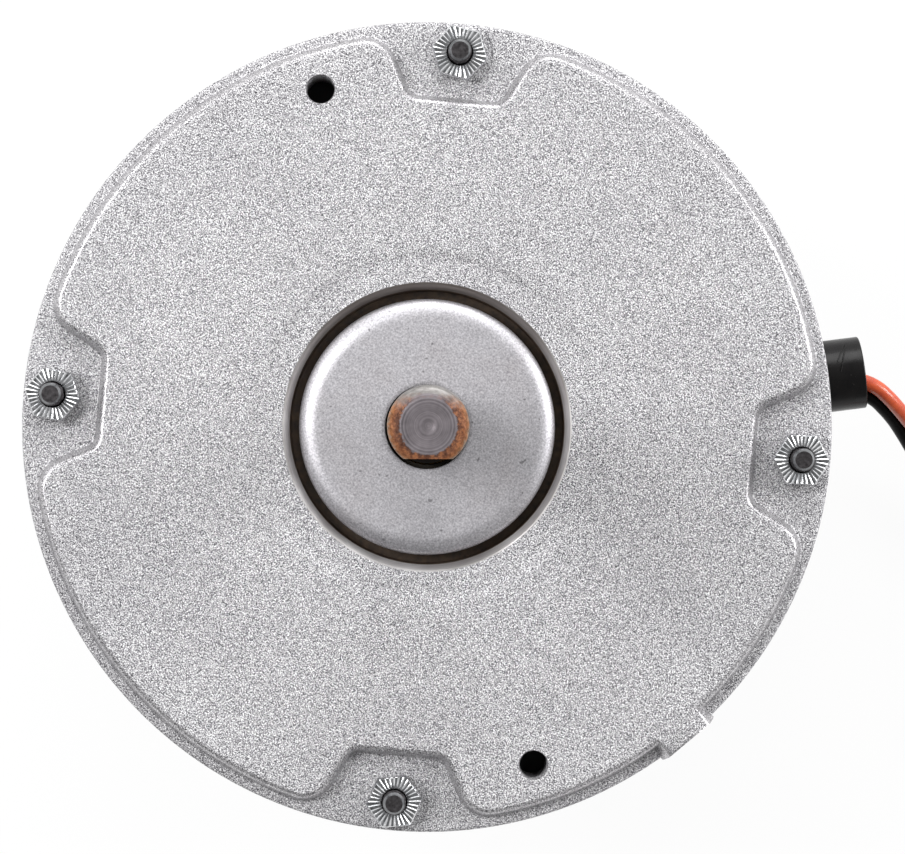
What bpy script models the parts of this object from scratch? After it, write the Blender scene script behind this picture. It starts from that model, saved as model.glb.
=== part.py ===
"""Shaft-up motor of a combustion fan: end shields, shell, stator, rotor, start governor, switch and leads.

Sizes are in millimetres and become metres in the helpers. The motor stands on its rear end shield, +Z runs
along the shaft towards the fan wheel's seat, and the four through bolts lie on the X and Y axes.
"""

import math

import bmesh
import bpy
from mathutils import Matrix, Vector

MM = 0.001
GAP = 0.3  # left between two pieces that touch

# Whole motor
REAR_RIM_Z = 3.2  # outer plane of the rear rim flange; the raised face below it stands on the floor
FRONT_RIM_Z = 123.8
SHAFT_TIP_Z = 215.9

# End shields, in their own frame: z = 0 is the rim's outer plane and +z points away from the motor
RIM_R = 71.45
RIM_EDGE = 0.45
RIM_THICK = 3.5
SPIGOT_R = (62.6, 69.6)
SPIGOT_Z = -10.0
FACE_Z = 3.2  # the raised face
FACE_R = 69.2
FACE_EDGE = 0.9
NOTCH_DEPTH_R = 57.7  # distance of a notch's flat bottom from the axis
NOTCH_HALF = 8.14
NOTCH_FLARE = math.radians(27.7)
NOTCH_BOTTOM_FILLET = 2.6
NOTCH_MOUTH_FILLET = 5.5
STEP_R = 30.5  # inside this circle the raised face is a little lower
STEP_DROP = 0.35
LIP_R = 25.3
RECESS_R = 24.1
RECESS_Z = -2.0
CAP_SEAT_R = 21.3
CAP_SEAT_Z = 0.5
BOSS_R = 26.1  # the thickened wall behind the recess
BOSS_Z = -4.0
HUB_R = 17.0
HUB_BORE_R = 13.4
HUB_END_Z = -22.8
WEEP_R = 62.2
WEEP_HOLE_R = 2.4
WEEP_ANGLE = 112.5
SPOUT_ANGLE = -45.0

# Through bolts and their nuts
BOLT_CIRCLE_R = 66.04
BOLT_R = 2.08
BOLT_HOLE_R = 2.4
BOLT_TIP_Z = 131.3
HEX_ACROSS_FLATS = 8.73
NUT_HEIGHT = 3.2
HEAD_HEIGHT = 2.6
NUT_TURNS = (2.0, -9.0, -7.0, 11.0)  # how far each nut's corner is turned, in degrees, bolt by bolt

# Bearings and caps, in the end shield's frame
BALL_R = 12.3
BALL_Z = -14.3
BEARING_HALF = 9.0
BEARING_BORE_R = 6.43
CAP_R = 22.5
CAP_WALL = 0.9
CAP_ROUND = 2.2
FRONT_CAP_Z = 4.2
REAR_CAP_Z = 2.7
CAP_HOLE_R = 7.35

# Shaft and rotor
SHAFT_R = 6.35
JOURNAL_R = 8.0  # the thicker middle of the shaft
SHOULDERS_Z = (28.6, 98.4)
SHAFT_FOOT_Z = 6.0
FLAT_FROM_AXIS = 5.1
FLAT_LENGTH = 87.0
FLAT_ANGLE = -85.0
CORE_Z = (46.0, 90.0)
ROTOR_R = 37.5
BAR_COUNT = 18
BAR_CIRCLE_R = 34.6
BAR_R = 1.6
BAR_HOLE_R = 1.9
END_RING_R = (27.0, 37.0)
END_RING_H = 5.7
FIN_COUNT = 8
FIN_HEIGHT = 4.0

# Stator
SHELL_R = (69.9, 70.8)
STATOR_R = 69.6
STATOR_BORE_R = 38.0
SLOT_COUNT = 24
TOOTH_HALF = 2.65
SLOT_R = (40.5, 58.0)
SLOT_MOUTH_HALF = 1.25
WINDING_R = (41.0, 60.5)
WINDING_H = 16.0

# Centrifugal start governor
PLATE_Z = (43.6, 45.2)
PLATE_R = 25.0
PIVOT_R = 19.0
PIVOT_Z = 32.9
PIN_R = 1.1
EYE_R = 1.2
COLLAR_Z = 30.0
COLLAR_BORE_R = 8.08
SPRING_R = 10.6
SPRING_WIRE_R = 0.45
SPRING_Z = (36.3, 43.1)
SPRING_TURNS = 4

# Start switch, on the -X side
BOARD_R = (19.0, 46.0)
BOARD_Z = (15.0, 16.6)
BOARD_HALF_ANGLE = 38.0
POST_R = 42.0
POST_ANGLES = (150.0, 210.0)
ARM_PIVOT = (-38.0, 0.0, 19.9)

# Lead sleeve and leads
LEAD_ANGLE = 12.3
SLEEVE_Z = 26.0
SLEEVE_R = 7.2
SLEEVE_BORE_R = 6.6
SLEEVE_END = 88.2
SLEEVE_HOLE_R = 7.5
LEAD_R = 1.5
LEAD_START = 70.0
LEAD_BEND = 87.0  # the leads are straight between these two distances from the axis
COIL_R = (12.0, 24.3)
COIL_HEIGHT = 10.6
COIL_CENTRE = (133.91, -10.37)
TIE_ANGLE = 40.0
# Where each lead lies in the sleeve: to the right of its axis, looking outwards, and above it
ORANGE_PLACE = (1.7, 1.0)
BLACK_PLACE = (4.3, -1.1)
# Each lead from the sleeve to the side of the coil
ORANGE_ROUTE = (
    (89.1, 16.1, 26.7),
    (92.0, 14.2, 25.8),
    (94.7, 11.9, 24.1),
    (97.5, 9.4, 21.5),
    (100.5, 6.9, 18.1),
    (103.4, 4.2, 14.5),
    (106.7, 1.5, 11.3),
    (109.9, -1.0, 9.2),
)
BLACK_ROUTE = (
    (89.1, 13.8, 23.8),
    (91.7, 12.1, 21.8),
    (94.3, 9.9, 19.2),
    (96.8, 7.2, 16.3),
    (99.4, 4.1, 13.3),
    (102.1, 0.8, 10.8),
    (105.1, -2.6, 9.1),
    (108.6, -6.2, 8.2),
)
# Each lead from the side of the coil to its terminal
ORANGE_TAIL = ((123.4, -34.6, 1.6), (128.0, -37.5, 1.6), (133.7, -38.7, 1.7))
BLACK_TAIL = ((110.9, -22.9, 2.3), (111.2, -29.4, 1.6), (111.7, -35.9, 1.7))
TERMINAL_SIZE = (7.6, 21.0, 3.6)

STEEL = ((0.60, 0.59, 0.58), 1.0, 0.35)
CAST = ((0.55, 0.55, 0.56), 1.0, 0.55)
LAMINATION = ((0.28, 0.28, 0.29), 0.9, 0.5)
COPPER = ((0.50, 0.20, 0.08), 0.6, 0.4)
ALUMINIUM = ((0.72, 0.72, 0.73), 1.0, 0.45)
BRONZE = ((0.45, 0.30, 0.14), 1.0, 0.4)
FELT = ((0.55, 0.52, 0.45), 0.0, 0.95)
ZINC = ((0.70, 0.70, 0.69), 1.0, 0.25)
DARK_STEEL = ((0.07, 0.065, 0.065), 0.8, 0.45)
RUBBER = ((0.015, 0.014, 0.014), 0.0, 0.35)
ORANGE = ((0.60, 0.12, 0.04), 0.0, 0.4)
PHENOLIC = ((0.16, 0.07, 0.03), 0.0, 0.6)
LABEL = ((0.75, 0.75, 0.76), 0.7, 0.4)
NYLON = ((0.35, 0.02, 0.02), 0.0, 0.4)

for old in list(bpy.data.objects):
    bpy.data.objects.remove(old)

parts = bpy.data.collections.new("combustion_fan_motor")
cutters = bpy.data.collections.new("cutters")
bpy.context.scene.collection.children.link(parts)
bpy.context.scene.collection.children.link(cutters)


# ---------------------------------------------------------------- helpers


def finished(obj, look):
    """Gives an object its own material and smooth shading, and returns it."""
    colour, metallic, roughness = look
    material = bpy.data.materials.new(obj.name)
    material.use_nodes = True
    shader = material.node_tree.nodes["Principled BSDF"]
    shader.inputs["Base Color"].default_value = (*colour, 1.0)
    shader.inputs["Metallic"].default_value = metallic
    shader.inputs["Roughness"].default_value = roughness
    obj.data.materials.clear()
    obj.data.materials.append(material)
    return obj


def added(name, mesh):
    """Links a mesh into the parts collection under this name."""
    obj = bpy.data.objects.new(name, mesh)
    parts.objects.link(obj)
    return obj


def from_bmesh(name, shape):
    mesh = bpy.data.meshes.new(name)
    shape.to_mesh(mesh)
    shape.free()
    mesh.shade_smooth()
    mesh.set_sharp_from_angle(angle=math.radians(35))
    return added(name, mesh)


def turned(name, profile, steps=32):
    """A profile of (radius, z) points turned about Z. It is closed, or it runs from the axis to the axis."""
    area = sum(
        a[0] * b[1] - b[0] * a[1]
        for a, b in zip(profile, profile[1:] + profile[:1], strict=True)
    )
    points = list(profile) if area < 0 else list(reversed(profile))
    open_ended = points[0][0] == 0 and points[-1][0] == 0
    shape = bmesh.new()
    corners = [shape.verts.new((r * MM, 0, z * MM)) for r, z in points]
    for a, b in zip(corners, corners[1:], strict=False):
        shape.edges.new((a, b))
    if not open_ended:
        shape.edges.new((corners[-1], corners[0]))
    obj = from_bmesh(name, shape)
    screw = obj.modifiers.new("turned", "SCREW")
    screw.steps = steps
    screw.render_steps = steps
    screw.use_merge_vertices = True
    screw.merge_threshold = 0.00001
    screw.use_smooth_shade = True
    return obj


def circle(radius, sides, centre=(0, 0), start=0.0):
    return [
        (
            centre[0] + radius * math.cos(start + 2 * math.pi * k / sides),
            centre[1] + radius * math.sin(start + 2 * math.pi * k / sides),
        )
        for k in range(sides)
    ]


def at_angle(radius, degrees):
    return radius * math.cos(math.radians(degrees)), radius * math.sin(math.radians(degrees))


def plate(name, outlines, low, high):
    """A flat shape of one or more closed outlines, those inside another being holes, as a mesh."""
    outline = bpy.data.curves.new(name, "CURVE")
    outline.dimensions = "2D"
    outline.fill_mode = "BOTH"
    outline.extrude = (high - low) / 2 * MM
    for points in outlines:
        spline = outline.splines.new("POLY")
        spline.points.add(len(points) - 1)
        for point, (x, y) in zip(spline.points, points, strict=True):
            point.co = (x * MM, y * MM, 0, 1)
        spline.use_cyclic_u = True
    flat = bpy.data.objects.new(name + "_outline", outline)
    bpy.context.scene.collection.objects.link(flat)
    bpy.context.view_layer.update()
    evaluated = flat.evaluated_get(bpy.context.evaluated_depsgraph_get())
    mesh = bpy.data.meshes.new_from_object(evaluated)
    bpy.data.objects.remove(flat)
    shape = bmesh.new()
    shape.from_mesh(mesh)
    bmesh.ops.remove_doubles(shape, verts=shape.verts, dist=0.000001)
    bmesh.ops.translate(shape, verts=shape.verts, vec=(0, 0, (low + high) / 2 * MM))
    bpy.data.meshes.remove(mesh)
    return from_bmesh(name, shape)


def rods(name, places, radius, low, high, sides=16):
    """Upright round rods, one at each (x, y) place, as one mesh."""
    shape = bmesh.new()
    for x, y in places:
        bmesh.ops.create_cone(
            shape,
            cap_ends=True,
            segments=sides,
            radius1=radius * MM,
            radius2=radius * MM,
            depth=(high - low) * MM,
            matrix=Matrix.Translation(Vector((x, y, (low + high) / 2)) * MM),
        )
    return from_bmesh(name, shape)


def blocks(name, size, frames):
    """Boxes of one size, one in each frame, a matrix in millimetres, as one mesh."""
    shape = bmesh.new()
    scale = Matrix.Diagonal((*(side * MM for side in size), 1.0))
    for frame in frames:
        placed = frame.copy()
        placed.translation *= MM
        bmesh.ops.create_cube(shape, size=1.0, matrix=placed @ scale)
    return from_bmesh(name, shape)


def turn_z(degrees):
    return Matrix.Rotation(math.radians(degrees), 4, "Z")


def helper(obj, owner):
    """Makes an object a hidden cutter that moves with its owner."""
    parts.objects.unlink(obj)
    cutters.objects.link(obj)
    obj.parent = owner
    obj.hide_render = True
    obj.display_type = "WIRE"


def combined(obj, tool, operation):
    helper(tool, obj)
    boolean = obj.modifiers.new(tool.name, "BOOLEAN")
    boolean.object = tool
    boolean.operation = operation


def cut(obj, tool):
    combined(obj, tool, "DIFFERENCE")


def join(obj, tool):
    combined(obj, tool, "UNION")


def soften(obj, width, segments=2):
    bevel = obj.modifiers.new("soft edges", "BEVEL")
    bevel.width = width * MM
    bevel.segments = segments
    bevel.angle_limit = math.radians(50)


def placed(obj, location, rotation=(0, 0, 0)):
    obj.location = Vector(location) * MM
    obj.rotation_euler = rotation
    return obj


def smooth_route(points, spacing):
    """Points about this far apart on a Catmull-Rom curve through the route's own points."""
    through = [Vector(p) for p in points]
    line = [2 * through[0] - through[1], *through, 2 * through[-1] - through[-2]]
    route = []
    for a, b, c, d in zip(line, line[1:], line[2:], line[3:], strict=False):
        count = max(1, round((c - b).length / spacing))
        for k in range(count):
            t = k / count
            route.append(
                b
                + (c - a) * (t / 2)
                + (2 * a - 5 * b + 4 * c - d) * (t**2 / 2)
                + (3 * b - a - 3 * c + d) * (t**3 / 2)
            )
    return [*route, line[-2]]


def wire(name, points, radius, resolution=2):
    """A tube along a line of points, closed at both ends."""
    curve = bpy.data.curves.new(name, "CURVE")
    curve.dimensions = "3D"
    curve.bevel_depth = radius * MM
    curve.bevel_resolution = resolution
    curve.use_fill_caps = True
    spline = curve.splines.new("POLY")
    spline.points.add(len(points) - 1)
    for point, place in zip(spline.points, points, strict=True):
        point.co = (*(Vector(place) * MM), 1)
    return added(name, curve)


# ---------------------------------------------------------------- end shields


def notch_side(sign, inset):
    """One side of a notch on the +X axis, from its flat bottom out to the face's edge, as points.

    The line is moved this far into the metal.
    """
    ahead = Vector((math.cos(NOTCH_FLARE), math.sin(NOTCH_FLARE)))
    into_metal = Vector((-ahead.y, ahead.x))
    corner = Vector((NOTCH_DEPTH_R - inset, NOTCH_HALF + inset * (1 - ahead.y) / ahead.x))
    # The fillet at the bottom corner lies in the notch, that at the mouth in the metal.
    turn = math.pi / 2 - NOTCH_FLARE
    low_r = NOTCH_BOTTOM_FILLET + inset
    low_centre = corner + Vector((low_r, -low_r * math.tan(turn / 2)))
    low = [
        low_centre + low_r * Vector((math.cos(a), math.sin(a)))
        for a in (math.pi - turn * k / 3 for k in range(4))
    ]
    high_r = NOTCH_MOUTH_FILLET - inset
    foot = corner + high_r * into_metal
    inner = FACE_R - inset - high_r
    reach = -foot.dot(ahead) + math.sqrt(foot.dot(ahead) ** 2 - foot.length_squared + inner**2)
    high_centre = foot + reach * ahead
    first = math.atan2(-into_metal.y, -into_metal.x)
    last = math.atan2(high_centre.y, high_centre.x)
    high = [
        high_centre + high_r * Vector((math.cos(a), math.sin(a)))
        for a in (first + (last - first) * k / 4 for k in range(5))
    ]
    return [(p.x, sign * p.y) for p in low + high]


def face_outline(inset):
    """The raised face's edge, moved this far inwards: four arcs, with a notch round each bolt."""
    up = notch_side(1, inset)
    mouth = math.degrees(math.atan2(up[-1][1], up[-1][0]))
    arc_steps = 7
    arc = [at_angle(FACE_R - inset, mouth + (90 - 2 * mouth) * k / arc_steps) for k in range(1, arc_steps)]
    quarter = list(reversed(notch_side(-1, inset))) + up + arc
    outline = []
    for turn in range(4):
        c, s = round(math.cos(turn * math.pi / 2)), round(math.sin(turn * math.pi / 2))
        outline += [(x * c - y * s, x * s + y * c) for x, y in quarter]
    return outline


def raised_face(name):
    """The raised face as a loft: a straight wall with a rounded top edge, and a hole inside the step."""
    edge = 1 - math.cos(math.pi / 4), 1 - math.sin(math.pi / 4)
    levels = (
        (-0.3, 0.0),
        (FACE_Z - FACE_EDGE, 0.0),
        (FACE_Z - FACE_EDGE * edge[1], FACE_EDGE * edge[0]),
        (FACE_Z, FACE_EDGE),
    )
    shape = bmesh.new()
    rings = [
        [shape.verts.new((x * MM, y * MM, z * MM)) for x, y in face_outline(inset)]
        for z, inset in levels
    ]
    for low, high in zip(rings, rings[1:], strict=False):
        for k in range(len(low)):
            shape.faces.new((low[k - 1], low[k], high[k], high[k - 1]))
    shape.faces.new(reversed(rings[0]))
    shape.faces.new(rings[-1])
    face = from_bmesh(name, shape)
    cut(face, rods(name + "_hole", [(0, 0)], STEP_R, -2, 6, sides=32))
    return face


def end_shield(name):
    """A cast end shield: rim, spigot, ribbed wall, hub with its bearing seat, and the raised face."""
    wall_top = 1.0  # it lies under the raised face
    wall_low = -0.6
    # The bearing's ball sits on a 45-degree cone at the bottom of the hub's bore.
    seat_high = BALL_Z - (BALL_R + GAP) * math.sqrt(2) + HUB_BORE_R
    seat_low_r = HUB_BORE_R - (seat_high - HUB_END_Z)
    shield = turned(
        name,
        [
            (RIM_R, -RIM_EDGE),
            (RIM_R, -RIM_THICK),
            (SPIGOT_R[1], -RIM_THICK),
            (SPIGOT_R[1], SPIGOT_Z),
            (SPIGOT_R[0], SPIGOT_Z),
            (SPIGOT_R[0], -RIM_THICK),
            (56.0, -RIM_THICK),
            (54.0, wall_low),
            (BOSS_R + 1.0, wall_low),
            (BOSS_R, BOSS_Z),
            (HUB_R, BOSS_Z),
            (HUB_R, HUB_END_Z),
            (seat_low_r, HUB_END_Z),
            (HUB_BORE_R, seat_high),
            (HUB_BORE_R, CAP_SEAT_Z),
            (CAP_SEAT_R, CAP_SEAT_Z),
            (CAP_SEAT_R, RECESS_Z),
            (RECESS_R, RECESS_Z),
            (RECESS_R, FACE_Z - 1.6),
            (LIP_R, FACE_Z - STEP_DROP),
            (STEP_R + 0.8, FACE_Z - STEP_DROP),
            (STEP_R + 0.8, wall_top),
            (56.0, wall_top),
            (56.6, 0.0),
            (RIM_R - RIM_EDGE, 0.0),
        ],
        steps=32,
    )
    ribs = blocks(
        name + "_ribs",
        (29.5, 3.0, 5.0),
        [turn_z(45 + 90 * k) @ Matrix.Translation((40.35, 0, wall_low - 2.2)) for k in range(4)],
    )
    join(shield, ribs)
    join(shield, raised_face(name + "_face"))

    # A shallow spout carries the face's level out past the rim.
    spout = blocks(
        name + "_spout",
        (8.0, 10.0, FACE_Z + 1.0),
        [turn_z(SPOUT_ANGLE) @ Matrix.Translation((67.7, 0, (FACE_Z - 1.02) / 2))],
    )
    soften(spout, 1.2)
    join(shield, spout)

    bolt_places = [at_angle(BOLT_CIRCLE_R, 90 * k) for k in range(4)]
    cut(shield, rods(name + "_bolt_holes", bolt_places, BOLT_HOLE_R, -12, 1, sides=12))
    weep_places = [at_angle(WEEP_R, WEEP_ANGLE), at_angle(WEEP_R, WEEP_ANGLE + 180)]
    cut(shield, rods(name + "_weep_holes", weep_places, WEEP_HOLE_R, -12, 5))
    for step in shield.modifiers:
        if step.type == "BOOLEAN":
            step.solver = "MANIFOLD"  # EXACT leaves the casting open where the ribs and the face meet it
    return finished(shield, CAST)


def bearing_cap(name, top, hole_r):
    """A pressed steel cup over the hub, with a rounded edge, and a hole where the shaft comes through."""
    foot = RECESS_Z + GAP
    inner_round = CAP_ROUND - CAP_WALL
    outer = [
        (CAP_R - CAP_ROUND * (1 - math.sin(a)), top - CAP_ROUND * (1 - math.cos(a)))
        for a in (math.pi / 2 * k / 3 for k in range(4))
    ]
    inner = [
        (CAP_R - CAP_WALL - inner_round * (1 - math.sin(a)), top - CAP_WALL - inner_round * (1 - math.cos(a)))
        for a in (math.pi / 2 * (1 - k / 3) for k in range(4))
    ]
    profile = [
        (hole_r, top),
        *outer,
        (CAP_R, foot),
        (CAP_R - CAP_WALL, foot),
        *inner,
        (hole_r, top - CAP_WALL),
    ]
    return finished(turned(name, profile), STEEL)


def closed_cap(name, top):
    """The rear cup, which has no hole."""
    foot = RECESS_Z + GAP
    profile = [
        (0, top),
        (CAP_R - CAP_ROUND, top),
        (CAP_R - CAP_ROUND * 0.3, top - CAP_ROUND * 0.3),
        (CAP_R, top - CAP_ROUND),
        (CAP_R, foot),
        (CAP_R - CAP_WALL, foot),
        (CAP_R - CAP_WALL, top - CAP_ROUND),
        (CAP_R - CAP_ROUND, top - CAP_WALL),
        (0, top - CAP_WALL),
    ]
    return finished(turned(name, profile), STEEL)


def bearing(name):
    """A self-aligning bronze bearing: a plain bore through a ball with its ends cut off."""
    end_angle = math.asin(BEARING_HALF / BALL_R)
    ball = [
        (BALL_R * math.cos(a), BALL_Z + BALL_R * math.sin(a))
        for a in (end_angle * (1 - k / 3) for k in range(7))
    ]
    bore = [(BEARING_BORE_R, BALL_Z - BEARING_HALF), (BEARING_BORE_R, BALL_Z + BEARING_HALF)]
    return finished(turned(name, ball + bore), BRONZE)


def bearing_retainer(name):
    """A sprung washer that presses the bearing into its seat, with slots that make its fingers."""
    outer = HUB_BORE_R - GAP
    ring = turned(name, [(9.1, -5.6), (9.1, -4.9), (outer, -4.9), (outer, -5.6)])
    slots = blocks(
        name + "_slots",
        (3.0, 1.2, 3.0),
        [turn_z(60 * k) @ Matrix.Translation((10.0, 0, -5.2)) for k in range(6)],
    )
    cut(ring, slots)
    return finished(ring, STEEL)


def oil_wick(name):
    profile = [(6.7, -4.6), (6.7, 1.2), (HUB_BORE_R - GAP, 1.2), (HUB_BORE_R - GAP, -4.6)]
    return finished(turned(name, profile, steps=24), FELT)


def shield_group(side, rim_z, flipped, cap_z, hole_r):
    """An end shield with its bearing, retainer, wick and cap, all placed in the shield's frame."""
    rotation = (math.pi, 0, 0) if flipped else (0, 0, 0)
    pieces = [
        end_shield(side + "_end_shield"),
        bearing(side + "_bearing"),
        bearing_retainer(side + "_bearing_retainer"),
        oil_wick(side + "_oil_wick"),
    ]
    if flipped:
        pieces.append(closed_cap(side + "_bearing_cap", cap_z))
    else:
        pieces.append(bearing_cap(side + "_bearing_cap", cap_z, hole_r))
    for piece in pieces:
        placed(piece, (0, 0, rim_z), rotation)


# ---------------------------------------------------------------- stator


def stator_shell():
    low, high = REAR_RIM_Z + RIM_THICK + GAP, FRONT_RIM_Z - RIM_THICK - GAP
    shell = turned(
        "stator_shell",
        [(SHELL_R[0], low), (SHELL_R[0], high), (SHELL_R[1], high), (SHELL_R[1], low)],
        steps=32,
    )
    hole = rods("sleeve_hole", [(0, 0)], SLEEVE_HOLE_R, 60, 80, sides=32)
    placed(hole, (0, 0, SLEEVE_Z), (0, math.pi / 2, math.radians(LEAD_ANGLE)))
    cut(shell, hole)
    return finished(shell, DARK_STEEL)


def slotted_bore():
    """The stator's inner outline: teeth with narrow mouths between the slots."""
    outline = []
    pitch = 360 / SLOT_COUNT
    for k in range(SLOT_COUNT):
        middle = k * pitch
        half_low = SLOT_R[0] * math.sin(math.radians(pitch / 2)) - TOOTH_HALF
        half_high = SLOT_R[1] * math.sin(math.radians(pitch / 2)) - TOOTH_HALF
        slot = [
            (STATOR_BORE_R, -SLOT_MOUTH_HALF),
            (SLOT_R[0] - 1.2, -SLOT_MOUTH_HALF),
            (SLOT_R[0], -half_low),
            (SLOT_R[1], -half_high),
            (SLOT_R[1], half_high),
            (SLOT_R[0], half_low),
            (SLOT_R[0] - 1.2, SLOT_MOUTH_HALF),
            (STATOR_BORE_R, SLOT_MOUTH_HALF),
        ]
        c, s = math.cos(math.radians(middle)), math.sin(math.radians(middle))
        outline += [(x * c - y * s, x * s + y * c) for x, y in slot]
        outline.append(at_angle(STATOR_BORE_R + 0.05, middle + pitch / 2))
    return outline


def stator_core():
    outlines = [circle(STATOR_R, 32), slotted_bore()]
    outlines += [circle(BOLT_HOLE_R, 10, at_angle(BOLT_CIRCLE_R, 90 * k)) for k in range(4)]
    return finished(plate("stator_core", outlines, *CORE_Z), LAMINATION)


def winding_ring(name, low, high):
    inner, outer = WINDING_R
    edge = 4.0
    profile = [
        (inner, low + edge * 0.4),
        (inner, high - edge * 0.4),
        (inner + edge, high),
        (outer - edge, high),
        (outer, high - edge * 0.4),
        (outer, low + edge * 0.4),
        (outer - edge, low),
        (inner + edge, low),
    ]
    return turned(name, profile, steps=24)


def stator_winding():
    """The end turns at both ends and the copper in the slots that joins them."""
    below, above = CORE_Z[0] - 0.5, CORE_Z[1] + 0.5
    winding = winding_ring("stator_winding", below - WINDING_H, below)
    outlines = []
    for k in range(SLOT_COUNT):
        middle = math.radians(360 / SLOT_COUNT * k)
        low_half = SLOT_R[0] * math.sin(math.radians(180 / SLOT_COUNT)) - TOOTH_HALF - 0.4
        high_half = SLOT_R[1] * math.sin(math.radians(180 / SLOT_COUNT)) - TOOTH_HALF - 0.6
        bar = [(42.0, -low_half), (57.3, -high_half), (57.3, high_half), (42.0, low_half)]
        c, s = math.cos(middle), math.sin(middle)
        outlines.append([(x * c - y * s, x * s + y * c) for x, y in bar])
    join(winding, plate("slot_copper", outlines, below - 3, above + 3))
    join(winding, winding_ring("front_end_turns", above, above + WINDING_H))
    return finished(winding, COPPER)


def through_bolts():
    """Four bolts up through the motor, their heads at the rear and a nut on each end at the front."""
    head_top = REAR_RIM_Z - GAP
    shank_top = BOLT_TIP_Z - 0.8
    for k in range(4):
        shank = [
            (0, BOLT_TIP_Z),
            (1.45, BOLT_TIP_Z),
            (BOLT_R, shank_top),
            (BOLT_R, head_top - 1),
            (0, head_top - 1),
        ]
        bolt = turned(f"through_bolt_{k + 1}", shank, steps=16)
        hexagon = circle(HEX_ACROSS_FLATS / math.sqrt(3), 6, start=math.radians(15 * k))
        join(bolt, plate(f"bolt_head_{k + 1}", [hexagon], head_top - HEAD_HEIGHT, head_top))
        placed(finished(bolt, DARK_STEEL), (*at_angle(BOLT_CIRCLE_R, 90 * k), 0))

        hexagon = circle(HEX_ACROSS_FLATS / math.sqrt(3), 6, start=math.radians(NUT_TURNS[k]))
        low = FRONT_RIM_Z + GAP
        nut = plate(f"stud_nut_{k + 1}", [hexagon, circle(BOLT_HOLE_R, 16)], low, low + NUT_HEIGHT)
        placed(finished(nut, ZINC), (*at_angle(BOLT_CIRCLE_R, 90 * k), 0))


def thermal_protector():
    body = blocks("thermal_protector", (20.0, 11.0, 6.0), [Matrix.Identity(4)])
    soften(body, 1.5)
    top_of_winding = CORE_Z[1] + 0.5 + WINDING_H
    placed(body, (*at_angle(50.5, 60), top_of_winding + GAP + 3.0), (0, 0, math.radians(150)))
    return finished(body, ((0.05, 0.05, 0.05), 0.2, 0.4))


def rating_label():
    """A blank metallised label that follows the shell."""
    inner, outer = SHELL_R[1] + 0.15, SHELL_R[1] + 0.4
    angles = [200 + 60 * k / 20 for k in range(21)]
    outline = [at_angle(outer, a) for a in angles] + [at_angle(inner, a) for a in reversed(angles)]
    return finished(plate("rating_label", [outline], 40, 92), LABEL)


# ---------------------------------------------------------------- rotor


def shaft():
    tip = SHAFT_TIP_Z
    low, high = SHOULDERS_Z
    obj = turned(
        "shaft",
        [
            (0, tip - 0.9),
            (0.9, tip),
            (4.4, tip),
            (5.6, tip - 0.5),
            (SHAFT_R, tip - 1.4),
            (SHAFT_R, high),
            (JOURNAL_R, high),
            (JOURNAL_R, low),
            (SHAFT_R, low),
            (SHAFT_R, SHAFT_FOOT_Z + 0.6),
            (SHAFT_R - 0.6, SHAFT_FOOT_Z),
            (0, SHAFT_FOOT_Z),
        ],
    )
    flat = blocks(
        "shaft_flat",
        (4.0, 16.0, FLAT_LENGTH + 2),
        [turn_z(FLAT_ANGLE) @ Matrix.Translation((FLAT_FROM_AXIS + 2, 0, tip - FLAT_LENGTH / 2 + 1))],
    )
    cut(obj, flat)
    return finished(obj, STEEL)


def rotor_core():
    bar_places = [at_angle(BAR_CIRCLE_R, 360 / BAR_COUNT * k) for k in range(BAR_COUNT)]
    outlines = [circle(ROTOR_R, 32), circle(JOURNAL_R + GAP, 16)]
    outlines += [circle(BAR_HOLE_R, 6, place) for place in bar_places]
    return finished(plate("rotor_core", outlines, *CORE_Z), LAMINATION)


def end_ring(name, low, high):
    inner, outer = END_RING_R
    return turned(name, [(inner, low), (inner, high), (outer, high), (outer, low)], steps=24)


def rotor_cage():
    """The cast cage: bars through the rotor's slots, an end ring at each end, and fins that stir the air."""
    rear = (CORE_Z[0] - GAP - END_RING_H, CORE_Z[0] - GAP)
    front = (CORE_Z[1] + GAP, CORE_Z[1] + GAP + END_RING_H)
    cage = end_ring("rotor_cage", *rear)
    places = [at_angle(BAR_CIRCLE_R, 360 / BAR_COUNT * k) for k in range(BAR_COUNT)]
    join(cage, rods("rotor_bars", places, BAR_R, rear[1] - 1, front[0] + 1, sides=6))
    join(cage, end_ring("front_end_ring", *front))
    fins = []
    for k in range(FIN_COUNT):
        for z in (rear[0] - FIN_HEIGHT / 2 + 0.5, front[1] + FIN_HEIGHT / 2 - 0.5):
            fins.append(turn_z(360 / FIN_COUNT * (k + 0.5)) @ Matrix.Translation((32.0, 0, z)))
    join(cage, blocks("rotor_fins", (8.0, 1.8, FIN_HEIGHT + 1.0), fins))
    return finished(cage, ALUMINIUM)


def thrust_washers():
    for side, low in (("front", FRONT_RIM_Z + BALL_Z - BEARING_HALF - GAP - 1.5), ("rear", 26.8)):
        profile = [(BEARING_BORE_R, low), (BEARING_BORE_R, low + 1.5), (9.6, low + 1.5), (9.6, low)]
        finished(turned(side + "_thrust_washer", profile), FELT)


# ---------------------------------------------------------------- start governor


def governor_plate():
    base = plate("governor_plate", [circle(PLATE_R, 24), circle(JOURNAL_R + GAP, 16)], *PLATE_Z)
    ear_height = PLATE_Z[0] + 0.6 - (PIVOT_Z - 2.2)
    ears = [
        Matrix.Translation((x, y, PIVOT_Z - 2.2 + ear_height / 2))
        for x in (-5.3, 5.3)
        for y in (-PIVOT_R, PIVOT_R)
    ]
    join(base, blocks("governor_ears", (1.2, 5.6, ear_height), ears))
    hole = rods("governor_pin_holes", [(PIVOT_Z, -PIVOT_R), (PIVOT_Z, PIVOT_R)], PIN_R + GAP, -8, 8)
    hole.rotation_euler = (0, -math.pi / 2, 0)
    cut(base, hole)
    return finished(base, STEEL)


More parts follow.
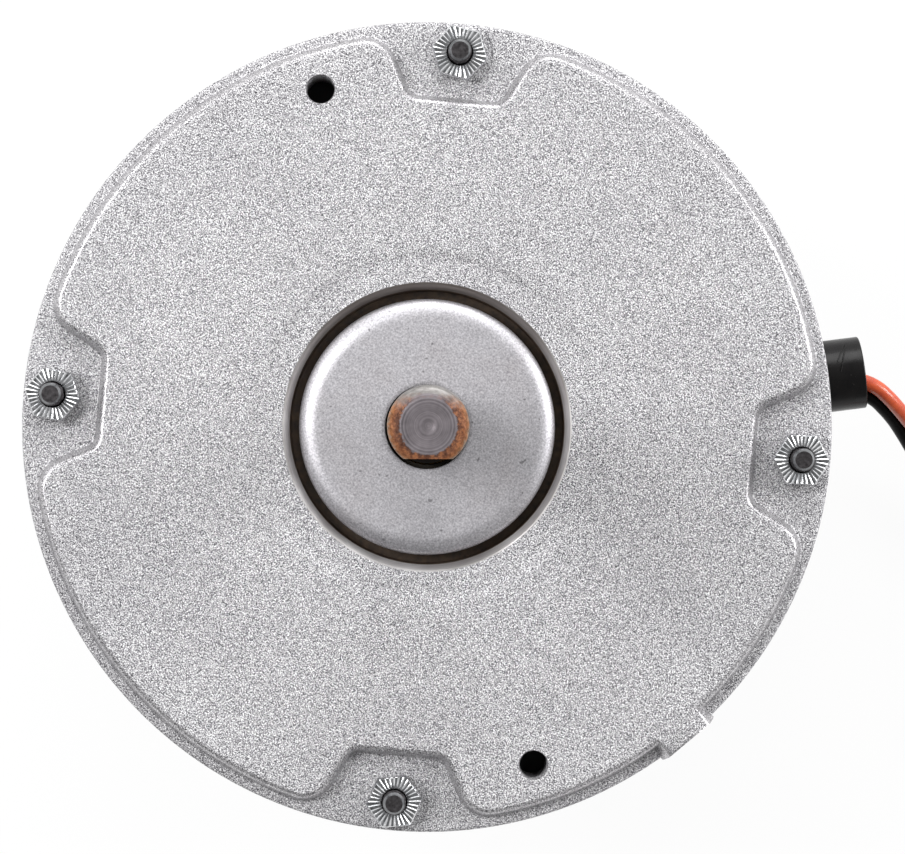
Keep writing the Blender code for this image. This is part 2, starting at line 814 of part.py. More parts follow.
def governor_weight(name, side):
    """A bell crank: a block beyond the pivot, and a toe that sits in the collar's groove."""
    body = blocks(name, (8.4, 5.5, 10.0), [Matrix.Translation((0, 0.25, 5.1))])
    toe = blocks(name + "_toe", (6.0, 8.2, 1.4), [Matrix.Translation((0, -4.1, 0))])
    join(body, toe)
    eye = rods(name + "_eye", [(0, 0)], 2.1, -4.2, 4.2)
    eye.rotation_euler = (0, math.pi / 2, 0)
    join(body, eye)
    bore = rods(name + "_bore", [(0, 0)], EYE_R, -9, 9)
    bore.rotation_euler = (0, math.pi / 2, 0)
    cut(body, bore)
    placed(body, (0, side * PIVOT_R, PIVOT_Z), (0, 0, 0 if side > 0 else math.pi))
    return finished(body, ZINC)


def governor_pin(name, side):
    pin = rods(name, [(0, 0)], PIN_R, -7.0, 7.0)
    return finished(placed(pin, (0, side * PIVOT_R, PIVOT_Z), (0, math.pi / 2, 0)), STEEL)


def governor_collar():
    profile = [
        (COLLAR_BORE_R, COLLAR_Z),
        (COLLAR_BORE_R, COLLAR_Z + 8.0),
        (9.4, COLLAR_Z + 8.0),
        (9.4, COLLAR_Z + 5.6),
        (12.0, COLLAR_Z + 5.6),
        (12.0, COLLAR_Z + 4.6),
        (9.4, COLLAR_Z + 4.6),
        (9.4, COLLAR_Z + 1.2),
        (12.5, COLLAR_Z + 1.2),
        (12.5, COLLAR_Z),
    ]
    return finished(turned("governor_collar", profile), PHENOLIC)


def governor_spring():
    points_a_turn = 10
    total = SPRING_TURNS * points_a_turn
    low, high = SPRING_Z[0] + SPRING_WIRE_R, SPRING_Z[1] - SPRING_WIRE_R
    points = [
        (*at_angle(SPRING_R, 360 * k / points_a_turn), low + (high - low) * k / total)
        for k in range(total + 1)
    ]
    return finished(wire("governor_spring", points, SPRING_WIRE_R, resolution=1), STEEL)


# ---------------------------------------------------------------- start switch


def sector(inner, outer, middle, half, steps):
    angles = [middle - half + 2 * half * k / steps for k in range(steps + 1)]
    return [at_angle(outer, a) for a in angles] + [at_angle(inner, a) for a in reversed(angles)]


def switch_board():
    holes = [circle(1.9, 12, at_angle(POST_R, angle)) for angle in POST_ANGLES]
    board = plate("switch_board", [sector(*BOARD_R, 180, BOARD_HALF_ANGLE, 16), *holes], *BOARD_Z)
    return finished(board, PHENOLIC)


def switch_posts():
    """Two posts that stand on the rear end shield, and the screws that hold the board to them."""
    low = REAR_RIM_Z + 0.6 + GAP
    high = BOARD_Z[0] - GAP
    for k, angle in enumerate(POST_ANGLES):
        post = turned(
            f"switch_post_{k + 1}",
            [(0, low), (3.2, low), (3.2, high), (1.9, high), (1.9, high - 5), (0, high - 5)],
            steps=16,
        )
        placed(finished(post, ALUMINIUM), (*at_angle(POST_R, angle), 0))
        head = BOARD_Z[1] + GAP
        profile = [
            (0, high - 4.5),
            (1.6, high - 4.5),
            (1.6, head),
            (3.0, head),
            (3.0, head + 1.0),
            (2.2, head + 1.7),
            (0, head + 1.7),
        ]
        screw = turned(f"switch_screw_{k + 1}", profile, steps=16)
        placed(finished(screw, ZINC), (*at_angle(POST_R, angle), 0))


def switch_bracket():
    """A base on the board with two ears, and the pin that the arm swings on."""
    base_z = BOARD_Z[1] + GAP
    x, _, z = ARM_PIVOT
    bracket = blocks("switch_bracket", (8.0, 10.4, 0.8), [Matrix.Translation((x, 0, base_z + 0.4))])
    ear_height = z + 2.0 - base_z
    ears = [Matrix.Translation((x, y, base_z + ear_height / 2)) for y in (-4.8, 4.8)]
    join(bracket, blocks("switch_ears", (5.0, 0.8, ear_height), ears))
    pin = rods("switch_pin", [(0, 0)], PIN_R, -5.6, 5.6)
    placed(pin, (x, 0, z), (math.pi / 2, 0, 0))
    join(bracket, pin)
    return finished(bracket, ZINC)


def ribbon(points, thickness):
    """The outline of a bent strip of this thickness along a line of points."""
    line = [Vector(p) for p in points]
    sides = []
    for k, point in enumerate(line):
        before = line[max(k - 1, 0)]
        after = line[min(k + 1, len(line) - 1)]
        ahead = (after - before).normalized()
        sides.append((point, Vector((-ahead.y, ahead.x)) * thickness / 2))
    return [tuple(p + n) for p, n in sides] + [tuple(p - n) for p, n in reversed(sides)]


def switch_arm():
    """A sprung arm with an eye on the bracket's pin, whose tip lies under the governor's collar."""
    # The strip stays low until it is past the governor weights' eyes, which turn above it.
    strip = [(1.0, -0.6), (5.0, -0.8), (10.0, -0.6), (12.0, 1.0)]
    strip += [(17.5, 4.5), (21.6, 7.3), (23.8, 9.0), (27.4, 9.3)]
    thickness = 0.8
    arm = plate("switch_arm", [ribbon(strip, thickness)], -3.5, 3.5)
    eye = rods("switch_eye", [(0, 0)], 2.0, -4.0, 4.0)
    join(arm, eye)
    contact = rods("moving_contact", [(9.0, 0)], 1.8, -1.9, -0.5)
    contact.rotation_euler = (-math.pi / 2, 0, 0)
    join(arm, contact)
    cut(arm, rods("switch_bore", [(0, 0)], EYE_R, -9, 9))
    placed(arm, ARM_PIVOT, (math.pi / 2, 0, 0))
    return finished(arm, BRONZE)


def switch_contact():
    contact = rods("switch_contact", [(ARM_PIVOT[0] + 9.0, 0)], 1.8, BOARD_Z[1] + GAP, 17.6)
    return finished(contact, ((0.7, 0.68, 0.62), 1.0, 0.3))


# ---------------------------------------------------------------- leads


def lead_sleeve():
    """The rubber sleeve through the shell, with the flange that holds it from inside."""
    flange = 68.9
    profile = [
        (SLEEVE_BORE_R, 66.9),
        (SLEEVE_BORE_R, SLEEVE_END),
        (SLEEVE_R, SLEEVE_END),
        (SLEEVE_R, flange),
        (9.0, flange),
        (9.0, 66.9),
    ]
    sleeve = turned("lead_sleeve", profile, steps=32)
    placed(sleeve, (0, 0, SLEEVE_Z), (0, math.pi / 2, math.radians(LEAD_ANGLE)))
    return finished(sleeve, RUBBER)


def lead_line(place, route):
    """A lead's line from inside the sleeve, straight as far as its mouth and then along the route."""
    aside, above = place
    c, s = at_angle(1.0, LEAD_ANGLE)
    inside = [
        (c * along + s * aside, s * along - c * aside, SLEEVE_Z + above)
        for along in (LEAD_START, (LEAD_START + LEAD_BEND) / 2, LEAD_BEND)
    ]
    return smooth_route([*inside, *route], 3.4)


def lead(colour, place, route, tail, look):
    """One lead's two free stretches, before and after the coil, and the insulated terminal on its end."""
    finished(wire(f"lead_{colour}", lead_line(place, route), LEAD_R), look)
    finished(wire(f"lead_tail_{colour}", smooth_route(tail, 6.5), LEAD_R), look)
    terminal = blocks(f"terminal_{colour}", TERMINAL_SIZE, [Matrix.Identity(4)])
    soften(terminal, 1.0)
    end = Vector(tail[-1])
    ahead = (end - Vector(tail[-2])).normalized()
    centre = end + ahead * (TERMINAL_SIZE[1] / 2 + GAP)
    turn = math.atan2(ahead.y, ahead.x) - math.pi / 2
    placed(terminal, (centre.x, centre.y, TERMINAL_SIZE[2] / 2), (0, 0, turn))
    finished(terminal, NYLON)


def lead_coil():
    inner, outer = COIL_R
    coil = turned("lead_coil", [(inner, 0), (inner, COIL_HEIGHT), (outer, COIL_HEIGHT), (outer, 0)], steps=32)
    middle = (inner + outer) / 2
    width = outer - inner
    frame = turn_z(TIE_ANGLE) @ Matrix.Translation((middle, 0, COIL_HEIGHT / 2))
    around = blocks("tie_notch", (width + 4, 5.6, COIL_HEIGHT + 4), [frame])
    cut(around, blocks("tie_notch_core", (width - 2.2, 8.0, COIL_HEIGHT - 2.2), [frame]))
    cut(coil, around)
    placed(finished(coil, ORANGE), (*COIL_CENTRE, 0))

    tie = blocks("coil_tie", (width - 0.2, 5.0, COIL_HEIGHT - 0.2), [frame])
    cut(tie, blocks("tie_hole", (width - 1.6, 8.0, COIL_HEIGHT - 1.6), [frame]))
    placed(finished(tie, RUBBER), (*COIL_CENTRE, 0))


# ---------------------------------------------------------------- the whole motor

shield_group("front", FRONT_RIM_Z, False, FRONT_CAP_Z, CAP_HOLE_R)
shield_group("rear", REAR_RIM_Z, True, REAR_CAP_Z, 0)
stator_shell()
stator_core()
stator_winding()
through_bolts()
thermal_protector()
rating_label()
shaft()
rotor_core()
rotor_cage()
thrust_washers()
governor_plate()
for number, toward in ((1, 1), (2, -1)):
    governor_weight(f"governor_weight_{number}", toward)
    governor_pin(f"governor_pin_{number}", toward)
governor_collar()
governor_spring()
switch_board()
switch_posts()
switch_bracket()
switch_arm()
switch_contact()
lead_sleeve()
lead("orange", ORANGE_PLACE, ORANGE_ROUTE, ORANGE_TAIL, ORANGE)
lead("black", BLACK_PLACE, BLACK_ROUTE, BLACK_TAIL, RUBBER)
lead_coil()
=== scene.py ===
"""The combustion fan motor, finished for rendering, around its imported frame.

Sizes are in millimetres and become metres where a mesh or a curve is made. +Z runs along the shaft, and the
picture's upright direction is the model's +Y turned by VIEW_TURN.
"""

import math
import random

import bpy
from mathutils import Matrix, Vector


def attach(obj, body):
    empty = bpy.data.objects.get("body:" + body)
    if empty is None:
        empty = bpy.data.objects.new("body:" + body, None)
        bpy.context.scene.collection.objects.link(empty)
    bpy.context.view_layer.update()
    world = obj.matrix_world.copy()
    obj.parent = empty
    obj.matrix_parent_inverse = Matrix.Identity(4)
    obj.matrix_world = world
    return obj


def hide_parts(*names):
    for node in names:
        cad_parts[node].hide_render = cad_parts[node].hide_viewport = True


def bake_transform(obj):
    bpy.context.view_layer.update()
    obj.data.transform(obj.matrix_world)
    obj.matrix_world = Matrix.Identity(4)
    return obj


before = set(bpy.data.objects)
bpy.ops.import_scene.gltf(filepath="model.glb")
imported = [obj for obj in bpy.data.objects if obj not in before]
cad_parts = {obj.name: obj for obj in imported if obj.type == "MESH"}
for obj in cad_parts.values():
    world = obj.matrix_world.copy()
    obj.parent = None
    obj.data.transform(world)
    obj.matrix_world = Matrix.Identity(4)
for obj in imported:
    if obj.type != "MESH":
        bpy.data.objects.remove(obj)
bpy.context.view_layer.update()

MM = 0.001
VIEW_TURN = 5.0  # degrees from the model's axes to the picture's
draw = random.Random(7)

# ---- sizes of the part, in millimetres

FRONT_RIM_Z = 123.8
REAR_RIM_Z = 3.2
SHAFT_TIP_Z = 215.9
SHAFT_R = 6.35
RIM_R = 71.45
FACE_Z = 3.2
FACE_R = 69.2
NOTCH_DEPTH_R = 57.7
NOTCH_HALF = 8.14
NOTCH_FLARE = math.radians(27.7)
NOTCH_BOTTOM_FILLET = 2.6
NOTCH_MOUTH_FILLET = 5.5
STEP_R = 30.5
STEP_DROP = 0.35
LIP_R = 25.3
RECESS_R = 24.1
RECESS_Z = -2.0
WEAR_AND_HIGHLIGHT_FROM_R = 50.0
WEEP_HOLE_R = 62.2
WEEP_HOLE_ANGLES = (112.5, 292.5)
SPOUT_ANGLE = -45.0
BOLT_CIRCLE_R = 66.04
BOLT_R = 2.08
BOLT_TIP_Z = 131.3
ACROSS_FLATS = 8.73
NUT_TURNS = (2.0, -9.0, -7.0, 11.0)
SHELL_Z = (7.0, 120.0)
WELD_ANGLE = 150.0
LEAD_ANGLE = 12.3
SLEEVE_Z = 26.0
SLEEVE_R = 7.2
SLEEVE_BORE_R = 6.6
SLEEVE_END = 88.2
LEAD_R = 1.5
COIL_CENTRE = Vector((133.91, -10.37))
TIE_ANGLE = 40.0

ORANGE_PLACE = (1.7, 1.0)
BLACK_PLACE = (4.3, -1.1)
ORANGE_ROUTE = (
    (89.1, 16.1, 26.7), (92.0, 14.2, 25.8), (94.7, 11.9, 24.1), (97.5, 9.4, 21.5),
    (100.5, 6.9, 18.1), (103.4, 4.2, 14.5), (106.7, 1.5, 11.3), (109.9, -1.0, 9.2),
)
BLACK_ROUTE = (
    (89.1, 13.8, 23.8), (91.7, 12.1, 21.8), (94.3, 9.9, 19.2), (96.8, 7.2, 16.3),
    (99.4, 4.1, 13.3), (102.1, 0.8, 10.8), (105.1, -2.6, 9.1), (108.6, -6.2, 8.2),
)
ORANGE_TAIL = ((123.4, -34.6, 1.6), (128.0, -37.5, 1.6), (133.7, -38.7, 1.7))
BLACK_TAIL = ((110.9, -22.9, 2.3), (111.2, -29.4, 1.6), (111.7, -35.9, 1.7))
LEAD_PITCH = 3.1  # from one turn of the coil to the next
TOP_Z = 7.85  # the height at which the leads reach the coil
LAYER_Z = (1.55, 4.65)
SPRING_R = 10.6
SPRING_WIRE_R = 0.45
SPRING_Z = (36.3, 43.1)
CAMERA_ASIDE = 2.1  # how far the camera is off the shaft's axis
CAMERA_HEIGHT = 829.8


def at_angle(radius, degrees):
    return radius * math.cos(math.radians(degrees)), radius * math.sin(math.radians(degrees))


def placed(name, data):
    """A new object in the scene."""
    obj = bpy.data.objects.new(name, data)
    bpy.context.scene.collection.objects.link(obj)
    return obj


# ---- camera

camera_data = bpy.data.cameras.new("camera")
camera = placed("camera", camera_data)
camera.location = Vector((*at_angle(CAMERA_ASIDE, 222 + VIEW_TURN), CAMERA_HEIGHT)) * MM
camera.rotation_euler = (0, 0, math.radians(VIEW_TURN))
camera_data.sensor_width = 36.0
camera_data.lens = 159.25
camera_data.shift_x = 0.03798686
camera_data.shift_y = 0.00883302
camera_data.clip_end = 20
bpy.context.scene.camera = camera


# ---- mesh helpers


def smoothed(mesh, sharp=32):
    """Shades a mesh smooth except along edges sharper than this many degrees."""
    mesh.shade_smooth()
    mesh.set_sharp_from_angle(angle=math.radians(sharp))
    return mesh


def evaluated(obj):
    """A new mesh of an object with its modifiers or its bevel applied."""
    bpy.context.view_layer.update()
    graph = bpy.context.evaluated_depsgraph_get()
    return bpy.data.meshes.new_from_object(obj.evaluated_get(graph), depsgraph=graph)


def painted(obj, *keys):
    """Gives an object's mesh or curve these looks, in the order of its slots."""
    obj.data.materials.clear()
    for key in keys:
        obj.data.materials.append(looks[key])
    return obj


def skin(name, rings, wrap=False, sharp=32):
    """A mesh through rings of points that go round counter-clockwise. A ring of one point closes an end."""
    points, starts = [], []
    for ring in rings:
        starts.append(len(points))
        points.extend(Vector(p) * MM for p in ring)
    pairs = list(zip(range(len(rings)), range(1, len(rings)), strict=False))
    if wrap:
        pairs.append((len(rings) - 1, 0))
    faces = []
    for a, b in pairs:
        count = max(len(rings[a]), len(rings[b]))
        for j in range(count):
            k = (j + 1) % count
            low = [starts[a]] if len(rings[a]) == 1 else [starts[a] + j, starts[a] + k]
            high = [starts[b]] if len(rings[b]) == 1 else [starts[b] + k, starts[b] + j]
            faces.append(low + high)
    mesh = bpy.data.meshes.new(name)
    mesh.from_pydata(points, [], faces)
    mesh.update()
    return placed(name, smoothed(mesh, sharp))


def even_angles(steps):
    return [360 * k / steps for k in range(steps)]


def ring(radius, z, angles):
    """A round ring, or a single point where the radius is 0."""
    if radius == 0:
        return [(0, 0, z)]
    return [(*at_angle(radius, a), z) for a in angles]


def lathe(name, profile, steps=128, sharp=32):
    """A profile of (radius, z) points turned about Z. It is closed, or runs from the axis to the axis."""
    area = sum(a[0] * b[1] - b[0] * a[1] for a, b in zip(profile, profile[1:] + profile[:1], strict=True))
    points = profile if area > 0 else profile[::-1]
    wrap = not (points[0][0] == 0 and points[-1][0] == 0)
    angles = even_angles(steps)
    return skin(name, [ring(r, z, angles) for r, z in points], wrap, sharp)


def rounded(corners, segments=4):
    """A profile's points. Each corner is (radius, z) or (radius, z, how far it is rounded)."""
    out = []
    for k, corner in enumerate(corners):
        if len(corner) == 2:
            out.append(tuple(corner))
            continue
        here = Vector(corner[:2])
        before = (Vector(corners[k - 1][:2]) - here).normalized()
        after = (Vector(corners[(k + 1) % len(corners)][:2]) - here).normalized()
        half = before.angle(after) / 2
        centre = here + (before + after).normalized() * corner[2] / math.sin(half)
        first = here + before * corner[2] / math.tan(half) - centre
        last = here + after * corner[2] / math.tan(half) - centre
        for i in range(segments + 1):
            spoke = first.lerp(last, i / segments).normalized() * corner[2]
            out.append(tuple(centre + spoke))
    return out


def quarter(r, z, wide, tall, steps, inwards=False):
    """A profile's quarter of an ellipse about (r, z), from its top to its side, or back."""
    points = []
    for k in range(1, steps + 1):
        a = math.pi / 2 * (1 - k / steps if not inwards else k / steps)
        points.append((r + wide * math.cos(a), z + tall * math.sin(a)))
    return points


def moved(obj, matrix):
    """Moves a mesh by a matrix in millimetres, and leaves its object at the origin."""
    placed = matrix.copy()
    placed.translation *= MM
    obj.data.transform(placed)
    return obj


def shift(x=0.0, y=0.0, z=0.0):
    return Matrix.Translation((x, y, z))


def turn(degrees, axis="Z"):
    return Matrix.Rotation(math.radians(degrees), 4, axis)


def carve(obj, tool, operation="DIFFERENCE", solver="EXACT", sharp=32):
    """Applies a Boolean with another mesh, which is used up."""
    step = obj.modifiers.new("carve", "BOOLEAN")
    step.object = tool
    step.operation = operation
    step.solver = solver
    mesh = evaluated(obj)
    obj.modifiers.clear()
    obj.data = smoothed(mesh, sharp)
    bpy.data.objects.remove(tool)
    return obj


def block(name, size, edge=0.0, segments=3):
    """A box about the origin, with rounded edges."""
    x, y, z = (side / 2 for side in size)
    corners = [(-x, -y), (x, -y), (x, y), (-x, y)]
    rings = [[(0, 0, -z)], [(a, b, -z) for a, b in corners], [(a, b, z) for a, b in corners], [(0, 0, z)]]
    obj = skin(name, rings)
    if edge:
        soften = obj.modifiers.new("edges", "BEVEL")
        soften.width = edge * MM
        soften.segments = segments
        soften.angle_limit = math.radians(40)
        obj.data = smoothed(evaluated(obj))
        obj.modifiers.clear()
    return obj


def smooth_route(points, spacing):
    """Points about this far apart on a Catmull-Rom curve through the route's own points."""
    through = [Vector(p) for p in points]
    line = [2 * through[0] - through[1], *through, 2 * through[-1] - through[-2]]
    route = []
    for a, b, c, d in zip(line, line[1:], line[2:], line[3:], strict=False):
        count = max(1, round((c - b).length / spacing))
        for k in range(count):
            t = k / count
            route.append(
                b
                + (c - a) * (t / 2)
                + (2 * a - 5 * b + 4 * c - d) * (t**2 / 2)
                + (3 * b - a - 3 * c + d) * (t**3 / 2)
            )
    return [*route, line[-2]]


def tube(name, points, radius, resolution=5):
    curve = bpy.data.curves.new(name, "CURVE")
    curve.dimensions = "3D"
    curve.bevel_depth = radius * MM
    curve.bevel_resolution = resolution
    curve.use_fill_caps = True
    spline = curve.splines.new("POLY")
    spline.points.add(len(points) - 1)
    for point, place in zip(spline.points, points, strict=True):
        point.co = (*(Vector(place) * MM), 1)
    return placed(name, curve)


def wire_mesh(name, points, radius, key):
    """A thin tube as a mesh, so that it can be joined to others."""
    wire = tube(name + "_line", points, radius, 3)
    mesh = smoothed(evaluated(wire))
    bpy.data.objects.remove(wire)
    return painted(placed(name, mesh), key)


def joined(name, objects):
    """One object of several meshes' shapes, with their materials."""
    with bpy.context.temp_override(active_object=objects[0], selected_editable_objects=objects):
        bpy.ops.object.join()
    objects[0].name = name
    objects[0].data.name = name
    return objects[0]


# ---- the leads


def smoothstep(value, low, high):
    t = min(max((value - low) / (high - low), 0.0), 1.0)
    return t * t * (3 - 2 * t)


def in_sleeve(place):
    """Three points of a lead inside the sleeve."""
    aside, above = place
    c, s = at_angle(1.0, LEAD_ANGLE)
    return [(c * d + s * aside, s * d - c * aside, SLEEVE_Z + above) for d in (70.0, 78.5, 87.0)]


def onto_coil(start, radius, top):
    """Points of the straight stretch from the route's end to where it touches a circle, and that angle."""
    offset = Vector(start[:2]) - COIL_CENTRE
    reach = math.sqrt(offset.length_squared - radius**2)
    heading = math.atan2(-offset.y, -offset.x) - math.asin(radius / offset.length)
    ahead = Vector((math.cos(heading), math.sin(heading)))
    points = []
    for share in (0.25, 0.5, 0.75):
        place = Vector(start[:2]) + ahead * reach * share
        points.append((place.x, place.y, top + (start[2] - top) * (1 - share) ** 3))
    touch = offset + ahead * reach
    return points, math.degrees(math.atan2(touch.y, touch.x)) % 360


def turns(first, last, radius_at, z_at):
    """Points of the coil every 15 degrees."""
    points = []
    count = round((last - first) / 15)
    for k in range(count + 1):
        angle = first + (last - first) * k / count
        place = COIL_CENTRE + Vector(at_angle(radius_at(angle), angle))
        from_tie = (angle - TIE_ANGLE + 180) % 360 - 180
        lift = 0.5 * math.exp(-((from_tie / 22) ** 2))
        points.append((place.x, place.y, z_at(angle) + lift))
    return points


def lead_line(place, route, tail, coil_r, last, layer_z, down_by, widening):
    """A lead's whole line: out of the sleeve, on to its coil, round that, and into its terminal.

    The coil goes from the angle where the lead meets it, `first`, to `last`. The lead has sunk to its own
    layer at the angle that `down_by` gives, and `widening` is what its circle's radius grows by on the way.
    """
    crossing, first = onto_coil(route[-1], coil_r, TOP_Z)
    wound = turns(
        first,
        last,
        lambda a: coil_r + widening(a, first),
        lambda a: TOP_Z + (layer_z - TOP_Z) * smoothstep(a, first, down_by(first)),
    )
    end = Vector(tail[-1])
    into_barrel = end + (end - Vector(tail[-2])).normalized() * 3
    return [*in_sleeve(place), *route, *crossing, *wound, *tail, tuple(into_barrel)]


def terminal(name, tail):
    """An insulated female blade terminal: a barrel on the lead, a flat housing, and the metal in its mouth.

    Each station is (how far along, half width, half height, how square its outline is).
    """
    stations = [
        (-8.0, 1.6, 1.6, 2.0), (-10.2, 1.6, 1.6, 2.0), (-10.5, 1.75, 1.7, 2.0), (-10.2, 1.8, 1.75, 2.0),
        (-9.3, 1.8, 1.75, 2.0), (-9.2, 1.72, 1.68, 2.0), (-8.6, 1.72, 1.68, 2.0), (-8.5, 1.8, 1.75, 2.0),
        (-4.2, 1.8, 1.75, 2.1), (-2.6, 2.3, 1.76, 2.6), (-0.8, 3.3, 1.78, 3.6), (0.4, 3.72, 1.78, 4.5),
        (2.0, 3.8, 1.79, 5.0), (2.1, 3.72, 1.7, 5.0), (2.7, 3.72, 1.7, 5.0), (2.8, 3.8, 1.79, 5.0),
        (10.1, 3.8, 1.79, 5.0), (10.45, 3.7, 1.7, 5.0), (10.5, 3.5, 1.5, 5.0), (10.3, 3.4, 1.3, 5.0),
        (6.0, 3.35, 1.2, 5.0),
    ]
    sides = 40
    rings = [[(0, -8.0, 0)]]
    for along, wide, tall, power in stations:
        here = []
        for k in range(sides):
            c, s = math.cos(2 * math.pi * k / sides), math.sin(2 * math.pi * k / sides)
            x = math.copysign(abs(c) ** (2 / power), c) * wide
            z = math.copysign(abs(s) ** (2 / power), s) * tall
            here.append((-x, along, z))
        rings.append(here)
    rings.append([(0, 6.0, 0)])
    body = skin(name, rings)
    blade = moved(block(name + "_metal", (6.3, 4.4, 1.6), 0.3), shift(0, 7.9, 0))
    slit = block(name + "_slit", (5.6, 3.0, 0.8))
    carve(blade, moved(slit, shift(0, 9.2, 0)))
    whole = joined(name, [painted(body, "nylon"), painted(blade, "tin_brass")])
    end = Vector(tail[-1])
    ahead = (end - Vector(tail[-2])).normalized()
    heading = math.degrees(math.atan2(ahead.y, ahead.x)) - 90
    centre = end + ahead * 10.8
    return moved(whole, shift(centre.x, centre.y, 1.8) @ turn(heading))


def coil_tie():
    """A cable tie: a band round the bundle, its toothed tail, and the head that holds it."""
    inner_r, outer_r, low, high, corner = 11.75, 22.95, 0.55, 7.3, 1.4
    sides = ((inner_r, low), (outer_r, low), (outer_r, high), (inner_r, high))
    path = rounded([(*side, corner) for side in sides], 5)
    middle = Vector(((inner_r + outer_r) / 2, (low + high) / 2))
    half_width, thick = 1.8, 0.5
    rings = []
    count = len(path)
    for k, here in enumerate(path):
        ahead = (Vector(path[(k + 1) % count]) - Vector(path[k - 1])).normalized()
        out = Vector((ahead.y, -ahead.x))
        if out.dot(Vector(here) - middle) < 0:
            out = -out
        p, q = Vector(here), Vector(here) + out * thick
        wide = ((p, -half_width), (p, half_width), (q, half_width), (q, -half_width))
        rings.append([(at.x, y, at.y) for at, y in wide])
    band = skin("coil_tie_band", rings, wrap=True)
    head = moved(block("coil_tie_head", (5.0, 4.6, 2.7), 0.5), shift(17.4, 0, 8.85))
    end = moved(block("coil_tie_end", (0.9, 2.6, 0.6), 0.2), shift(20.1, 0, 8.9))
    whole = joined("cable_tie", [painted(piece, "tie_nylon") for piece in (band, head, end)])
    return moved(whole, shift(COIL_CENTRE.x, COIL_CENTRE.y, 0) @ turn(TIE_ANGLE))


# ---- materials


def colour(red, green, blue):
    """A colour given as it is seen on a screen, from 0 to 255, for a shader socket."""
    parts = []
    for value in (red, green, blue):
        v = value / 255
        parts.append(v / 12.92 if v <= 0.04045 else ((v + 0.055) / 1.055) ** 2.4)
    return (*parts, 1.0)


class Look:
    """A material and the few node shapes that they are all built from."""

    def __init__(self, name, metallic=0.0, **shader):
        self.material = bpy.data.materials.new(name)
        self.material.use_nodes = True
        self.tree = self.material.node_tree
        self.shader = self.tree.nodes["Principled BSDF"]
        self.shader.inputs["Metallic"].default_value = metallic
        for key, value in shader.items():
            self.shader.inputs[key.replace("_", " ")].default_value = value
        self.where = self.node("TexCoord").outputs["Object"]
        # A flat face that lay along the noise's own grid would show it too faintly.
        self.turned = self.node("Mapping", {"Vector": self.where, "Rotation": (0.7, 0.4, 0.3)}).outputs[0]
        self.height = None

    def plug(self, socket, value):
        """Links another socket to this one, or sets it to a constant."""
        if isinstance(value, bpy.types.NodeSocket):
            self.tree.links.new(value, socket)
        else:
            socket.default_value = value

    def node(self, kind, inputs=None, **settings):
        made = self.tree.nodes.new("ShaderNode" + kind)
        for key, value in settings.items():
            setattr(made, key, value)
        for key, value in (inputs or {}).items():
            self.plug(made.inputs[key], value)
        return made

    def stretched(self, x=1.0, y=1.0, z=1.0):
        return self.node("Mapping", {"Vector": self.where, "Scale": (x, y, z)}).outputs[0]

    def noise(self, scale, detail=2.0, rough=0.5, where=None):
        inputs = {"Vector": where or self.turned, "Scale": scale, "Detail": detail, "Roughness": rough}
        return self.node("TexNoise", inputs).outputs[0]

    def bands(self, along, per_metre, detail=1.0):
        """Noise along one line only, which gives fine bands or rings."""
        inputs = {"W": self.times(along, per_metre), "Scale": 1.0, "Detail": detail}
        return self.node("TexNoise", inputs, noise_dimensions="1D").outputs[0]

    def maths(self, operation, a, b=0.0):
        return self.node("Math", {0: a, 1: b}, operation=operation).outputs[0]

    def plus(self, a, b):
        return self.maths("ADD", a, b)

    def times(self, a, b):
        return self.maths("MULTIPLY", a, b)

    def spread(self, value, low, high, to_low=0.0, to_high=1.0):
        """The value mapped from one range to another, and kept in it."""
        inputs = {"Value": value, "From Min": low, "From Max": high, "To Min": to_low, "To Max": to_high}
        return self.node("MapRange", inputs).outputs[0]

    def ramp(self, value, *stops):
        found = self.node("ValToRGB", {"Fac": value})
        elements = found.color_ramp.elements
        while len(elements) < len(stops):
            elements.new(0.5)
        for element, (place, shade) in zip(elements, stops, strict=True):
            element.position = place
            element.color = colour(*shade)
        return found.outputs["Color"]

    def tones(self, value, dark, light):
        return self.ramp(value, (0.3, dark), (0.7, light))

    def mix(self, share, a, b, blend="MIX"):
        """Mixes a second socket or colour over a first socket."""
        over = colour(*b) if isinstance(b, tuple) else b
        made = self.node("Mix", {0: share, 6: a, 7: over}, data_type="RGBA", blend_type=blend)
        return made.outputs[2]

    def bump(self, height, strength, distance):
        """Adds a layer of bump, in metres, over those already there."""
        inputs = {"Height": height, "Strength": strength, "Distance": distance}
        if self.height:
            inputs["Normal"] = self.height
        self.height = self.node("Bump", inputs).outputs[0]

    def done(self, base, roughness):
        self.plug(self.shader.inputs["Base Color"], base)
        self.plug(self.shader.inputs["Roughness"], roughness)
        if self.height:
            self.plug(self.shader.inputs["Normal"], self.height)
        return self.material


def simple(
    name, dark, light, scale, rough, metallic=0.0, bump=0.3, depth=0.00005, stretch=(1, 1, 1), **shader
):
    """Two tones in a noise, with a roughness and a bump that follow it."""
    look = Look(name, metallic, **shader)
    grain = look.noise(scale, 3.0, 0.6, look.stretched(*stretch))
    look.bump(grain, bump, depth)
    return look.done(look.tones(grain, dark, light), look.spread(grain, 0.3, 0.7, *rough))


def cast_metal(name, tones, metallic, rough, relief):
    """Blasted die casting: a fine sparkling grain over faint clouds."""
    look = Look(name, metallic)
    grain = look.noise(4900, 1.5, 0.6)
    clouds = look.noise(30, 3.0, 0.55)
    speck = look.ramp(grain, (0.34, tones[0]), (0.5, tones[1]), (0.66, tones[2]))
    base = look.mix(look.spread(clouds, 0.35, 0.7, 0.0, 0.22), speck, (192, 190, 194), "MULTIPLY")
    look.bump(look.noise(160, 2.0), 0.2, 0.0002)
    look.bump(grain, relief, 0.00015)
    return look.done(base, look.spread(grain, 0.3, 0.7, *rough))


